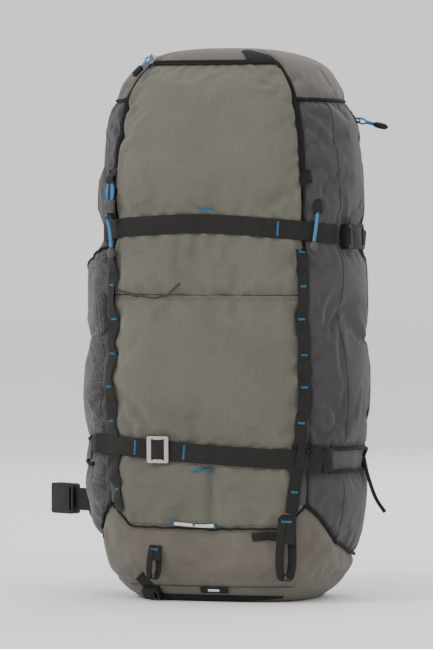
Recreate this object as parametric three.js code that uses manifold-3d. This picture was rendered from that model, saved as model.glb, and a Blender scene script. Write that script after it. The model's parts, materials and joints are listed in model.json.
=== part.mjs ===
// A ski touring backpack: a sewn shell of fabric panels round a hollow main compartment, with a
// zipped front flap, a side zip, compression straps, daisy chains, tool loops, a padded back with a
// frame sheet and two stays, shoulder straps with a chest strap, and an open hip belt.
// Millimetres, +Z up, the front of the pack faces -Y and the wearer's back faces +Y.
// The origin is the centre of the flat base, which the pack stands on.

import * as THREE from "three";
import Module from "manifold-3d";

const wasm = await Module();
wasm.setup();

// ---------------------------------------------------------------- driving dimensions

const GAP = 0.3; // between pieces that touch
const SEAM = 1.5; // below the curved edges of panels, which meet their neighbours in facets
const SKIN = 2.4; // fabric panel with its lining and foam
const WEB = 1.6; // webbing thickness
const WEB_LIFT = 0.4; // webbing above the panel that it lies on

// Half of the plan outline, front centre to back centre. A station counts along it: 0 is the front
// centre, 2 the front corner seam, 7 the back corner seam, 9 the back centre; minus is the left.
const PLAN = [
  [0, -96], [62, -94], [106, -80], [127, -54], [137, -12],
  [136, 32], [124, 66], [98, 84], [50, 88], [0, 88],
];

// Height, and the scale of the plan there: across, front half and back half.
const PROFILE = [
  [0, 0, 0, 0], [0, 0.6, 0.62, 0.8], [6, 0.74, 0.76, 0.9], [20, 0.85, 0.86, 0.97],
  [45, 0.93, 0.93, 1], [90, 0.985, 0.98, 1], [160, 1.02, 1, 1], [220, 1.03, 1, 1],
  [300, 1, 1, 1], [400, 0.98, 0.985, 1], [465, 0.95, 0.955, 1], [508, 0.905, 0.91, 1],
  [535, 0.84, 0.85, 0.99], [555, 0.74, 0.75, 0.96], [568, 0.63, 0.64, 0.9],
  [577, 0.48, 0.5, 0.78], [581.5, 0.27, 0.3, 0.5], [583, 0, 0, 0],
];
const HEIGHT = PROFILE[PROFILE.length - 1][0];

const FLAP_BOTTOM = 447; // the zip ends here on both sides
const FLAP_TOP = 566;
const POCKET_SEAM = 322; // seam across the front
const CAP_EDGE = 527; // the top cap meets the side panels
const BASE_EDGE = [[0, 77], [1.4, 78], [2, 102], [2.6, 86], [3.4, 62], [4.5, 48], [5.5, 44], [9, 44]];

const STRAP_WIDTH = 20;
const DAISY_WIDTH = 12;
const DAISY_TOP = 366;
const DAISY_FOOT = 98;

const BACK_Y = 88;
const WING_PIVOT = [84, 101]; // hip belt fold line
const WING_LENGTH = 150;
const WING_Z = 96;
const LEFT_WING_ANGLE = 150; // degrees from +X, as the belt lies open
const RIGHT_WING_ANGLE = 125;

// ---------------------------------------------------------------- materials

const paint = (color, roughness = 0.85, metalness = 0) =>
  new THREE.MeshStandardMaterial({ color, roughness, metalness });
const OLIVE = paint("#7a796d");
const OLIVE_LOWER = paint("#747367");
const CAP_GREY = paint("#7d7670");
const BOOT_GREY = paint("#656058");
const SIDE_GREY = paint("#4c4a4c");
const MESH_GREY = paint("#5d5d5f");
const PAD_BLACK = paint("#2c2b2a");
const WEBBING = paint("#302e2b", 0.8);
const BUCKLE = paint("#1c1b1a", 0.45);
const CORD_BLUE = paint("#4094c8", 0.7);
const ALLOY = paint("#c8b4af", 0.35, 0.9);
const REFLECTIVE = paint("#d2cdc8", 0.5);
const SHEET = paint("#1e1e20", 0.5);

const pack = new THREE.Group();

function add(name, geometry, material, parent = pack) {
  const mesh = new THREE.Mesh(geometry, material);
  mesh.name = name;
  parent.add(mesh);
  return mesh;
}

// ---------------------------------------------------------------- solids from grids and booleans

// One closed geometry from a list of corner points, three to a triangle: corners are welded,
// triangles that collapsed are dropped, and the faces are turned outward.
function weld(corners) {
  const index = new Map();
  const points = [];
  const ids = corners.map((p) => {
    const key = [p.x, p.y, p.z].map((value) => Math.round(value * 1e4)).join();
    if (!index.has(key)) {
      index.set(key, points.length);
      points.push(p);
    }
    return index.get(key);
  });
  const faces = [];
  let volume = 0;
  for (let i = 0; i < ids.length; i += 3) {
    const [a, b, c] = [ids[i], ids[i + 1], ids[i + 2]];
    if (a !== b && b !== c && c !== a) {
      faces.push([a, b, c]);
      volume += points[a].dot(points[b].clone().cross(points[c]));
    }
  }
  const geometry = new THREE.BufferGeometry();
  const flat = points.flatMap((p) => [p.x, p.y, p.z]);
  geometry.setAttribute("position", new THREE.Float32BufferAttribute(flat, 3));
  geometry.setIndex(faces.flatMap(([a, b, c]) => (volume > 0 ? [a, b, c] : [a, c, b])));
  geometry.computeVertexNormals();
  return geometry;
}

// The solid between two grids of points. A ring joins its last column to its first.
function slab(outer, inner, ring = false) {
  const corners = [];
  const quad = (a, b, c, d) => corners.push(a, b, c, a, c, d);
  const last = outer.length - 1;
  const end = outer[0].length - 1;
  for (let c = 0; c < end; c += 1) {
    for (let r = 0; r < last; r += 1) {
      quad(outer[r][c], outer[r][c + 1], outer[r + 1][c + 1], outer[r + 1][c]);
      quad(inner[r][c], inner[r + 1][c], inner[r + 1][c + 1], inner[r][c + 1]);
    }
    quad(outer[0][c + 1], outer[0][c], inner[0][c], inner[0][c + 1]);
    quad(outer[last][c], outer[last][c + 1], inner[last][c + 1], inner[last][c]);
  }
  for (let r = 0; r < last && !ring; r += 1) {
    quad(outer[r][0], outer[r + 1][0], inner[r + 1][0], inner[r][0]);
    quad(outer[r + 1][end], outer[r][end], inner[r][end], inner[r + 1][end]);
  }
  return weld(corners);
}

function corners(geometry) {
  const flat = geometry.index ? geometry.toNonIndexed() : geometry;
  const position = flat.attributes.position;
  const list = [];
  for (let i = 0; i < position.count; i += 1) {
    list.push(new THREE.Vector3().fromBufferAttribute(position, i));
  }
  return list;
}

function toSolid(geometry) {
  const clean = weld(corners(geometry));
  return new wasm.Manifold(new wasm.Mesh({
    numProp: 3,
    vertProperties: new Float32Array(clean.attributes.position.array),
    triVerts: new Uint32Array(clean.index.array),
  }));
}

function fromSolid(solid) {
  const { vertProperties, triVerts } = solid.getMesh();
  const geometry = new THREE.BufferGeometry();
  geometry.setAttribute("position", new THREE.BufferAttribute(vertProperties, 3));
  geometry.setIndex(new THREE.BufferAttribute(triVerts, 1));
  geometry.computeVertexNormals();
  return geometry;
}

// Joins the first list of geometries and cuts the second list from it.
function join(parts, cuts = []) {
  let solid = toSolid(parts[0]);
  for (const part of parts.slice(1)) solid = solid.add(toSolid(part));
  for (const cut of cuts) solid = solid.subtract(toSolid(cut));
  return fromSolid(solid);
}

const box = (width, depth, height, x = 0, y = 0, z = 0) =>
  new THREE.BoxGeometry(width, depth, height).translate(x, y, z);

// A plate in the XZ plane with rounded corners, its thickness along Y, and rectangular windows
// given as [width, height, x, z].
function plate(width, height, thickness, radius, windows = []) {
  const outline = (w, h, r, x, z, target) => {
    const [l, b] = [x - w / 2, z - h / 2];
    target.moveTo(l + r, b);
    target.lineTo(l + w - r, b).absarc(l + w - r, b + r, r, -Math.PI / 2, 0, false);
    target.lineTo(l + w, b + h - r).absarc(l + w - r, b + h - r, r, 0, Math.PI / 2, false);
    target.lineTo(l + r, b + h).absarc(l + r, b + h - r, r, Math.PI / 2, Math.PI, false);
    target.lineTo(l, b + r).absarc(l + r, b + r, r, Math.PI, Math.PI * 1.5, false);
    return target;
  };
  const shape = outline(width, height, radius, 0, 0, new THREE.Shape());
  for (const [w, h, x, z] of windows) {
    shape.holes.push(outline(w, h, Math.min(w, h) * 0.2, x, z, new THREE.Path()));
  }
  const options = { depth: thickness, bevelEnabled: false, curveSegments: 2 };
  const flat = new THREE.ExtrudeGeometry(shape, options).translate(0, 0, -thickness / 2);
  return weld(corners(flat.rotateX(Math.PI / 2)));
}

// ---------------------------------------------------------------- the shell surface

const mirrored = PLAN.slice(1, -1).reverse().map(([x, y]) => [-x, y]);
const planCurve = new THREE.CatmullRomCurve3(
  [...PLAN, ...mirrored].map(([x, y]) => new THREE.Vector3(x, y, 0)), true, "catmullrom", 0.5);
const STATIONS = PLAN.length * 2 - 2;

function planPoint(station) {
  const turn = (((station / STATIONS) % 1) + 1) % 1;
  return planCurve.getPoint(turn);
}

// The profile at a row number, with smooth steps between the listed rows.
function profileAt(row) {
  const top = PROFILE.length - 1;
  const k = Math.min(Math.max(Math.floor(row), 0), top - 1);
  const f = row - k;
  const at = (i) => PROFILE[Math.min(Math.max(i, 0), top)];
  return [0, 1, 2, 3].map((c) => {
    const [a, b] = [at(k)[c], at(k + 1)[c]];
    if (k === 0 || k >= top - 2) return a + (b - a) * f;
    const [before, after] = [at(k - 1)[c], at(k + 2)[c]];
    const [m0, m1] = [(b - before) / 2, (after - a) / 2];
    return (2 * f ** 3 - 3 * f ** 2 + 1) * a + (f ** 3 - 2 * f ** 2 + f) * m0
      + (3 * f ** 2 - 2 * f ** 3) * b + (f ** 3 - f ** 2) * m1;
  });
}

function rowAtHeight(z) {
  let [low, high] = [1, PROFILE.length - 1];
  for (let i = 0; i < 40; i += 1) {
    const middle = (low + high) / 2;
    if (profileAt(middle)[0] < z) low = middle;
    else high = middle;
  }
  return low;
}

function surface(station, row) {
  const [z, across, front, back] = profileAt(row);
  const p = planPoint(station);
  return new THREE.Vector3(p.x * across, p.y * (p.y < 0 ? front : back), Math.max(z, 0));
}

function outward(station, row) {
  const [ds, dr] = [0.02, 0.02];
  const along = surface(station + ds, row).sub(surface(station - ds, row));
  const up = surface(station, Math.min(row + dr, PROFILE.length - 1.001))
    .sub(surface(station, Math.max(row - dr, 0.02)));
  return along.cross(up).normalize();
}

const onShell = (station, row, lift) =>
  surface(station, row).addScaledVector(outward(station, row), lift);

const spread = (from, to, steps) =>
  Array.from({ length: steps + 1 }, (_, i) => from + ((to - from) * i) / steps);

function tableAt(table, x) {
  let k = 0;
  while (k < table.length - 2 && x > table[k + 1][0]) k += 1;
  const [[x0, y0], [x1, y1]] = [table[k], table[k + 1]];
  return y0 + (y1 - y0) * Math.min(Math.max((x - x0) / (x1 - x0), 0), 1);
}

const baseEdge = (station) => tableAt(BASE_EDGE, Math.abs(station));

// A fabric panel of the shell between two seams and two heights, which may vary round the pack.
function panel(name, material, stations, low, high, rows) {
  const grid = (lift) => spread(0, 1, rows).map((v) => stations.map((s) => {
    const row = rowAtHeight(low(s)) * (1 - v) + rowAtHeight(high(s)) * v;
    return onShell(s, row, lift);
  }));
  return add(name, slab(grid(0), grid(-SKIN)), material);
}

// Webbing that lies on the shell along a path of [station, height] points.
function strapOn(path, width, { lift = WEB_LIFT, thickness = WEB, shift = 0, steps = 6 } = {}) {
  const points = path.flatMap(([s, z], i) => {
    if (i === path.length - 1) return [[s, z]];
    const [s1, z1] = path[i + 1];
    return spread(0, 1, steps).slice(0, -1).map((f) => [s + (s1 - s) * f, z + (z1 - z) * f]);
  });
  const places = points.map(([s, z]) => surface(s, rowAtHeight(z)));
  const rows = points.map(([s, z], i) => {
    const normal = outward(s, rowAtHeight(z));
    const tangent = places[Math.min(i + 1, places.length - 1)].clone()
      .sub(places[Math.max(i - 1, 0)]).normalize();
    const side = normal.clone().cross(tangent).normalize();
    return [lift + thickness, lift].map((out) => [-0.5, 0, 0.5].map((k) => places[i].clone()
      .addScaledVector(normal, out).addScaledVector(side, shift + k * width)));
  });
  return slab(rows.map((r) => r[0]), rows.map((r) => r[1]));
}

// A group that stands on the shell: its X runs on round the pack, its Y into the pack, its Z up.
function seatOn(station, z, lift) {
  const row = rowAtHeight(z);
  const normal = outward(station, row);
  const along = surface(station + 0.05, row).sub(surface(station - 0.05, row)).normalize();
  const up = along.clone().cross(normal.clone().negate()).normalize();
  const seat = new THREE.Group();
  const place = onShell(station, row, lift);
  seat.matrix.makeBasis(along, normal.negate(), up).setPosition(place);
  seat.matrix.decompose(seat.position, seat.quaternion, seat.scale);
  pack.add(seat);
  return seat;
}

// ---------------------------------------------------------------- ribbons and cords in space

// A strip along a smooth path, its width across the side direction. Width and thickness may vary.
function ribbon(points, side, width, thickness, steps = 12) {
  const curve = new THREE.CatmullRomCurve3(points.map((p) => new THREE.Vector3(...p)));
  const value = (v, f) => (typeof v === "function" ? v(f) : v);
  const rows = spread(0, 1, steps).map((f) => {
    const place = curve.getPoint(f);
    const tangent = curve.getTangent(f);
    const across = new THREE.Vector3(...side);
    across.addScaledVector(tangent, -across.dot(tangent)).normalize();
    const normal = tangent.clone().cross(across).normalize();
    const [w, t] = [value(width, f), value(thickness, f)];
    return [0.5, -0.5].map((n) => [-0.5, 0.5].map((k) => place.clone()
      .addScaledVector(normal, n * t).addScaledVector(across, k * w)));
  });
  return slab(rows.map((r) => r[0]), rows.map((r) => r[1]));
}

function cord(points, diameter, steps) {
  const curve = new THREE.CatmullRomCurve3(points.map((p) => new THREE.Vector3(...p)));
  const sides = 8;
  const ring = Array.from({ length: sides }, (_, i) => {
    const angle = (i * 2 * Math.PI) / sides;
    return new THREE.Vector2(Math.cos(angle), Math.sin(angle)).multiplyScalar(diameter / 2);
  });
  const options = { extrudePath: curve, steps, bevelEnabled: false };
  return weld(corners(new THREE.ExtrudeGeometry(new THREE.Shape(ring), options)));
}

// ---------------------------------------------------------------- buckle pieces

// A side-release buckle, webbing direction along X, width along Z. The socket opens at -X and the
// plug's two prongs lie in it with running clearance.
function buckleSocket(length, width, depth) {
  const wall = 2;
  const tail = 8;
  const body = plate(length, width, depth, 3, [[3, width - 8, length / 2 - 4.5, 0]]);
  const hollow = box(length - tail - wall, depth - 2 * wall, width - 2 * wall, -(tail + wall) / 2 - 0.05);
  const windows = box(length * 0.3, depth - 2 * wall, width + 4, -length * 0.08);
  return join([body], [hollow, windows]);
}

function buckleTongue(length, width, depth, reach) {
  const wall = 2;
  const thick = depth - 2 * wall - 0.8;
  const head = plate(length, width, depth, 3, [[3, width - 8, -length / 4, 0]]);
  const prong = (z) => box(reach + 2, thick, 3, length / 2 + reach / 2 - 1, 0, z);
  const offset = width / 2 - wall - 2.1;
  return join([head, prong(offset), prong(-offset), box(reach * 0.7 + 2, thick, 3, length / 2 + reach * 0.35 - 1)]);
}

// A frame that webbing threads round: two slots beside a middle bar.
const threadFrame = (length, width, depth) =>
  plate(length, width, depth, 2, [[2.6, width - 6, -length / 4, 0], [2.6, width - 6, length / 4, 0]]);

// ---------------------------------------------------------------- panels of the bag

const SIDE_STATIONS = [2.02, 2.6, 3.2, 4, 5, 6, 6.6, 6.98];
const FRONT_STATIONS = [-1.98, -1.5, -1, -0.5, 0, 0.5, 1, 1.5, 1.98];
const FLAP_STATIONS = [-1.95, -1.5, -1, -0.5, 0, 0.5, 1, 1.5, 1.95];
const BACK_STATIONS = [7.02, 7.6, 8.3, 9, 9.7, 10.4, 10.98];

panel("front_panel_lower", OLIVE_LOWER, FRONT_STATIONS, (s) => baseEdge(s) + SEAM, () => POCKET_SEAM - GAP, 6);
panel("front_panel_middle", OLIVE, FRONT_STATIONS, () => POCKET_SEAM, () => FLAP_BOTTOM - GAP, 4);
panel("flap_panel", OLIVE, FLAP_STATIONS, () => FLAP_BOTTOM, () => FLAP_TOP - SEAM, 6);
for (const [side, name] of [[-1, "left"], [1, "right"]]) {
  const stations = SIDE_STATIONS.map((s) => side * s);
  panel(`side_panel_${name}`, SIDE_GREY, stations, (s) => baseEdge(s) + SEAM, () => CAP_EDGE - SEAM, 10);
}
panel("back_panel", MESH_GREY, BACK_STATIONS, () => 44 + SEAM, () => CAP_EDGE - SEAM, 8);

// The top cap closes the crown and comes down to the side panels behind the zip.
function topCap() {
  const half = [0, 0.5, 1, 1.5, 1.98, 2.03, 2.6, 3.4, 4.3, 5.3, 6.2, 7, 8, 9];
  const stations = [...half.slice(1).reverse().map((s) => -s), ...half];
  const low = (s) => (Math.abs(s) < 2 ? FLAP_TOP : CAP_EDGE);
  const rows = 5;
  const grid = (lift) => spread(0, 1, rows).map((v) => stations.map((s) => {
    const row = rowAtHeight(low(s)) * (1 - v) + (PROFILE.length - 1) * v;
    if (v === 1) return new THREE.Vector3(0, 0, HEIGHT + lift);
    return onShell(s, row, lift);
  }));
  add("top_cap", slab(grid(0), grid(-SKIN), true), CAP_GREY);
}
topCap();

// The base is one tray: a flat floor and a wall that rises higher at the front corners.
function baseTray() {
  const half = [0, 0.7, 1.4, 2, 2.6, 3.4, 4.5, 5.5, 6.3, 7, 8, 9];
  const stations = [...half.slice(1).reverse().map((s) => -s), ...half];
  const levels = [0, 0.99, 1.3, 1.7, 2.2, 3];
  const grid = (lift) => [...levels, 4].map((level) => stations.map((s) => {
    if (level < 1) return surface(s, level).add(new THREE.Vector3(0, 0, -lift));
    const row = level === 4 ? rowAtHeight(baseEdge(s)) : level;
    return onShell(s, row, lift);
  }));
  add("base_panel", slab(grid(0), grid(-SKIN), true), BOOT_GREY);
}
baseTray();

// ---------------------------------------------------------------- back, frame sheet, stays, pads

add("frame_sheet", box(156, 1.6, 400, 0, BACK_Y - SKIN - 4, 270), SHEET);
for (const [side, name] of [[-1, "left"], [1, "right"]]) {
  add(`stay_${name}`, box(16, 2, 380, side * 48, BACK_Y - SKIN - 6.2, 270), ALLOY);
  const pad = plate(62, 300, 12, 14).translate(side * 40, BACK_Y + 6 + 0.6, 305);
  add(`back_pad_${name}`, pad, PAD_BLACK);
}
add("lumbar_pad", plate(128, 74, 14, 16).translate(0, BACK_Y + 7 + 0.6, 108), PAD_BLACK);

// ---------------------------------------------------------------- zips

const zipPath = [
  [-2.06, FLAP_BOTTOM], [-2.06, 500], [-2.04, 540], [-2.0, 564.5], [-1, FLAP_TOP + 1],
  [0, FLAP_TOP + 1], [1, FLAP_TOP + 1], [2.0, 564.5], [2.04, 540], [2.06, 500], [2.06, FLAP_BOTTOM],
];
add("zip_chain", strapOn(zipPath, 5, { shift: 3, steps: 3, lift: 0.5 }), WEBBING);

const SIDE_ZIP_STATION = 5.1;
add("side_zip_chain", strapOn([[SIDE_ZIP_STATION, 516], [SIDE_ZIP_STATION, 130]], 6, { steps: 12 }), WEBBING);

// A slider rides on the chain; its lug has a hole for the pull's ring.
function zipSlider(name, seat, material) {
  const body = box(8, 3.2, 11, 0, -1.6, 0);
  const lug = plate(5, 6, 1.6, 1.2, [[2.8, 2.8, 0, 0]]).rotateZ(Math.PI / 2).translate(0, -5.4, 0);
  add(name, join([body, lug]), material, seat);
}

// The pull: a wire ring through the lug, and a moulded tab on a short cord. swing stands it off the bag.
function zipPull(name, seat, swing) {
  const ring = weld(corners(new THREE.TorusGeometry(4, 0.7, 5, 10))).rotateX(Math.PI / 2)
    .translate(0, 0, -3.6);
  const tab = plate(6, 26, 2.6, 2).translate(0, 0, -20.2);
  add(name, join([ring, tab]).rotateX(THREE.MathUtils.degToRad(-swing)).translate(0, -5.4, 0), CORD_BLUE, seat);
}

const leftZipSeat = seatOn(-1.9, FLAP_TOP, 2.8);
zipSlider("zip_slider_left", leftZipSeat, ALLOY);
zipPull("zip_pull_left", leftZipSeat, 0);
const SIDE_PULL_SWING = 65; // degrees: its stiff cord holds it out from the side panel
const rightZipSeat = seatOn(SIDE_ZIP_STATION, 505, 2.8);
zipSlider("zip_slider_right", rightZipSeat, BUCKLE);
zipPull("zip_pull_right", rightZipSeat, SIDE_PULL_SWING);

// ---------------------------------------------------------------- front webbing

for (const [side, name] of [[-1, "left"], [1, "right"]]) {
  const top = side * 1.9;
  add(`daisy_chain_${name}`, strapOn([[top, DAISY_TOP], [side * 1.86, 220], [side * 1.62, DAISY_FOOT]],
    DAISY_WIDTH, { steps: 6 }), WEBBING);
}

const UPPER_BUCKLE_STATION = 3.65;
add("upper_strap", strapOn([[-2.6, 387], [-1.2, 394], [0, 399], [1.2, 392], [3.27, 385]], STRAP_WIDTH,
  { steps: 6 }), WEBBING);
const upperSeat = seatOn(UPPER_BUCKLE_STATION, 383, 6.2);
const UPPER_BUCKLE = { socket: 28, tongue: 10, width: 26, depth: 9, reach: 16 };
add("upper_buckle_tongue",
  buckleTongue(UPPER_BUCKLE.tongue, UPPER_BUCKLE.width, UPPER_BUCKLE.depth, UPPER_BUCKLE.reach)
    .translate(-UPPER_BUCKLE.tongue / 2 - GAP, 0, 0), BUCKLE, upperSeat);
add("upper_buckle_socket",
  buckleSocket(UPPER_BUCKLE.socket, UPPER_BUCKLE.width, UPPER_BUCKLE.depth)
    .translate(UPPER_BUCKLE.socket / 2, 0, 0), BUCKLE, upperSeat);
add("upper_strap_anchor", strapOn([[4.5, 382], [5.6, 379]], STRAP_WIDTH, { steps: 5, lift: 2.6 }), WEBBING);

add("lower_strap", strapOn([[-2.7, 170], [-1.9, 167], [0, 156], [1.3, 152], [2.25, 151]], STRAP_WIDTH,
  { steps: 5, lift: 3 }), WEBBING);
const slideSeat = seatOn(-0.74, 160.5, 6.2);
add("strap_slide", threadFrame(24, 28, 2.4), ALLOY, slideSeat);

for (const [side, name] of [[-1, "left"], [1, "right"]]) {
  add(`side_tab_${name}`, strapOn([[side * 2.75, 150], [side * 4.7, 148]], 26, { steps: 6, thickness: 2.2 }),
    SIDE_GREY);
}
add("strap_tail", cord([[146.5, 4, 150], [150, 6, 132], [158, 8, 108], [168, 10, 92]], 4, 16), WEBBING);

// ---------------------------------------------------------------- shaft holders at the top corners

// The cord hangs from the corner seam as a loop: one strand runs down to a round end, the other
// comes back into the cord lock.
const HOLDER = { top: 441, end: 368, cord: 3.5 };
const leftHolder = seatOn(-1.98, HOLDER.top, 8);
const drop = HOLDER.top - HOLDER.end;
const STRAND = [[6, 0, 3 - drop], [2.6, -0.5, -52], [-2.6, -0.3, -37], [-3.6, 0, -24], [-3.6, 0, -6]];
add("shaft_cord_left", cord([...STRAND, [0, 0, 0], [3.6, 0, -6], [3.6, 0, -19.4]], HOLDER.cord, 36),
  CORD_BLUE, leftHolder);
const strandBore = () => cord(STRAND, HOLDER.cord + 1.6, 30);
const lockShell = weld(corners(new THREE.CylinderGeometry(7, 7, 14, 16))).rotateX(Math.PI / 2)
  .scale(1, 0.72, 1).translate(0, 0, -27);
add("cord_lock_body", join([lockShell], [strandBore(), box(4, 5, 8, 3.6, 0, -32)]), BUCKLE, leftHolder);
add("cord_lock_button", join([box(3.2, 4.2, 7.4, 3.6, 0, -34.1), box(9, 6, 2.4, 2.6, 0, -38.8)], [strandBore()]),
  BUCKLE, leftHolder);
const roundEnd = () => weld(corners(new THREE.SphereGeometry(5, 10, 6)));
add("shaft_end_left", roundEnd().translate(6.6, 0, -drop - 2.6), BUCKLE, leftHolder);
const rightHolder = seatOn(2.3, 412, 4);
add("shaft_cord_right", cord([[4, 1, 0], [1, -0.5, -16], [-2, 0, -34]], HOLDER.cord, 14), CORD_BLUE, rightHolder);
add("shaft_end_right", roundEnd().translate(-2.6, 0, -39.6), BUCKLE, rightHolder);

// ---------------------------------------------------------------- loops at the foot of the front

const TOOL_LOOP_LIFT = 3.4; // clears the panel, which curves away under the straight loop
// A webbing loop sewn at its top edge: the front strand hangs off the panel and returns behind.
function toolLoop(name, station, top, length, width) {
  const seat = new THREE.Group();
  seat.position.copy(onShell(station, rowAtHeight(top), TOOL_LOOP_LIFT));
  pack.add(seat);
  const reach = 13;
  const path = [
    [0, -1, 0], [0, -reach * 0.7, -length * 0.3], [0, -reach, -length * 0.7],
    [0, -reach * 0.62, -length], [0, -reach * 0.2, -length * 0.86], [0, -1.8, -length * 0.5],
    [0, -1.6, -length * 0.1],
  ];
  add(name, ribbon(path, [1, 0, 0], width, WEB, 24), WEBBING, seat);
}
toolLoop("tool_loop_right", 1.56, 94, 68, 20);
toolLoop("tool_loop_left", -0.88, 60, 34, 14);

add("light_loop", strapOn([[-0.52, 82.5], [0.2, 82.5]], 4, { steps: 4, lift: 0.6 }), REFLECTIVE);
add("half_moon_tab", strapOn([[0.84, 70], [1.36, 71]], 9, { steps: 3 }), WEBBING);
add("base_loop", strapOn([[-0.15, 14], [0.42, 14]], 8, { steps: 3 }), WEBBING);
add("tail_buckle", plate(20, 14, 7, 3, [[3, 8, 6, 0]]), BUCKLE, seatOn(-1.3, 11.5, 4.6));

// ---------------------------------------------------------------- haul loop, shoulder harness

const haulPath = [[-46, 92, 524], [-30, 101, 517], [0, 106, 511], [30, 101, 517], [46, 92, 524]];
add("haul_loop", ribbon(haulPath, [0, 0.2, 1], 18, WEB, 14), WEBBING);

const strapWidth = (f) => 66 - 14 * f - 10 * Math.max(0, f - 0.7) / 0.3;
for (const [side, name] of [[-1, "left"], [1, "right"]]) {
  const path = [[40, 98, 478], [45, 120, 489], [52, 134, 470], [58, 140, 410], [62, 139, 340],
    [66, 133, 275], [70, 124, 232]].map(([x, y, z]) => [side * x, y, z]);
  add(`shoulder_strap_${name}`, ribbon(path, [1, 0, 0], strapWidth, (f) => 12 - 3 * f, 22), PAD_BLACK);

  const lifter = [[50, 131.8, 491], [54, 114, 510], [60, 94.5, 530]].map(([x, y, z]) => [side * x, y, z]);
  add(`load_lifter_${name}`, ribbon(lifter, [1, 0, 0], 15, WEB, 6), WEBBING);

  const lock = new THREE.Group();
  lock.position.set(side * 71.2, 121.6, 218);
  lock.rotation.set(-0.21, 0, 0);
  pack.add(lock);
  const lockPlate = threadFrame(22, 26, 3).rotateY(Math.PI / 2);
  add(`ladder_lock_${name}`, lockPlate, BUCKLE, lock);
  const lower = [[71.6, 116.4, 201], [86, 107, 187], [98, 91, 171]].map(([x, y, z]) => [side * x, y, z]);
  add(`lower_webbing_${name}`, ribbon(lower, [1, 0, 0.4 * side], 18, WEB, 6), WEBBING);
}

// ---------------------------------------------------------------- chest strap

const CHEST_Z = 392;
const CHEST_Y = 150;
const chestSeat = new THREE.Group();
chestSeat.position.set(0, CHEST_Y, CHEST_Z);
pack.add(chestSeat);
for (const [side, name] of [[-1, "left"], [1, "right"]]) {
  const runner = threadFrame(20, 22, 3).translate(side * 59.4, 0, 0);
  add(`chest_strap_${name}`, join([runner, box(21.4, WEB, 15, side * 40.2)]), WEBBING, chestSeat);
}
const CHEST_SOCKET_LENGTH = 26;
add("chest_socket", buckleSocket(CHEST_SOCKET_LENGTH, 22, 8).translate(16.2, 0, 0), BUCKLE, chestSeat);
add("chest_tongue", buckleTongue(16, 22, 8, 14).translate(-5.2, 0, 0), BUCKLE, chestSeat);

// ---------------------------------------------------------------- hip belt

const wingHeight = (f) => 78 - 30 * f;
for (const [side, name, angle] of [[-1, "left", LEFT_WING_ANGLE], [1, "right", RIGHT_WING_ANGLE]]) {
  const wing = new THREE.Group();
  wing.position.set(side * WING_PIVOT[0], WING_PIVOT[1], WING_Z);
  wing.rotation.z = THREE.MathUtils.degToRad(angle);
  pack.add(wing);
  const path = [[4, 0, 0], [60, 0, -2], [WING_LENGTH, 0, -6]];
  const padded = ribbon(path, [0, 0, 1], wingHeight, (f) => 12 - 3 * f, 10);
  const web = box(26, WEB, 25, WING_LENGTH + 8.6, 0, -6);
  add(`hip_wing_${name}`, join([padded, web]), PAD_BLACK, wing);
  if (side < 0) {
    add("hip_socket", buckleSocket(36, 34, 11).rotateZ(Math.PI).translate(190, 0, -6), BUCKLE, wing);
  } else {
    add("hip_tongue", buckleTongue(16, 34, 11, 22).translate(180, 0, -6), BUCKLE, wing);
  }
}

export default pack;
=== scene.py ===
"""A ski touring backpack: sewn panels, webbing, zips, buckles, harness and hip belt."""

import json
import math

import bmesh
import bpy
import numpy as np
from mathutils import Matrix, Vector


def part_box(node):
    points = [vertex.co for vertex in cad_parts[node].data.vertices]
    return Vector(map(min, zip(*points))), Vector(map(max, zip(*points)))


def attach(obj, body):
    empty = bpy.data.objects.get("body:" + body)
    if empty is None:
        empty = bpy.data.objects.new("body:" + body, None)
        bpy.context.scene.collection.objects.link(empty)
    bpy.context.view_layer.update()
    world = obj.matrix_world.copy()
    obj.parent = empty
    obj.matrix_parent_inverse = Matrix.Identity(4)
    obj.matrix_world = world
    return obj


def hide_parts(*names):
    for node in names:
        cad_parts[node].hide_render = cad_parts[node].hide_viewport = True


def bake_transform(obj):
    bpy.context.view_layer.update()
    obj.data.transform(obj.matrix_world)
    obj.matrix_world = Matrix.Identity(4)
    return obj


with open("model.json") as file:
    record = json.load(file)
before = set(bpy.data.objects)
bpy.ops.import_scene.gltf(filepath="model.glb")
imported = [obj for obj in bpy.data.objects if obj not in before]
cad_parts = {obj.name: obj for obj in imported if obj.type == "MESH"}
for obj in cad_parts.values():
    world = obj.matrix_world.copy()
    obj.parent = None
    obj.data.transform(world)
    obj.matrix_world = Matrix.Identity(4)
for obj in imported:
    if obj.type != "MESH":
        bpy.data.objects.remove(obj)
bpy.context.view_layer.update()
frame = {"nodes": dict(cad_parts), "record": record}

MM = 0.001

# ---------------------------------------------------------------- camera, light and floor

AZIMUTH = math.radians(16.5)
ELEVATION = math.radians(1.2)
DISTANCE = 5.0
VIEW_HEIGHT = 0.69  # what the frame holds at the pack, in metres
SENSOR = 24.0  # the long side of the frame, which is its height
FLOOR_EDGE = 14  # from the middle of the floor to its edge, in metres


def make_camera():
    right = Vector((math.cos(AZIMUTH), math.sin(AZIMUTH), 0))
    back = Vector((math.sin(AZIMUTH) * math.cos(ELEVATION),
                   -math.cos(AZIMUTH) * math.cos(ELEVATION), math.sin(ELEVATION)))
    target = Vector((0, 0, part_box("top_cap")[1][2] / 2 - 0.002)) - right * 0.014
    data = bpy.data.cameras.new("camera")
    data.sensor_width = SENSOR
    data.lens = SENSOR * DISTANCE / VIEW_HEIGHT
    data.clip_end = 50
    camera = bpy.data.objects.new("camera", data)
    camera.location = target + back * DISTANCE
    camera.rotation_euler = back.to_track_quat("Z", "Y").to_euler()
    bpy.context.collection.objects.link(camera)
    bpy.context.scene.camera = camera


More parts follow.
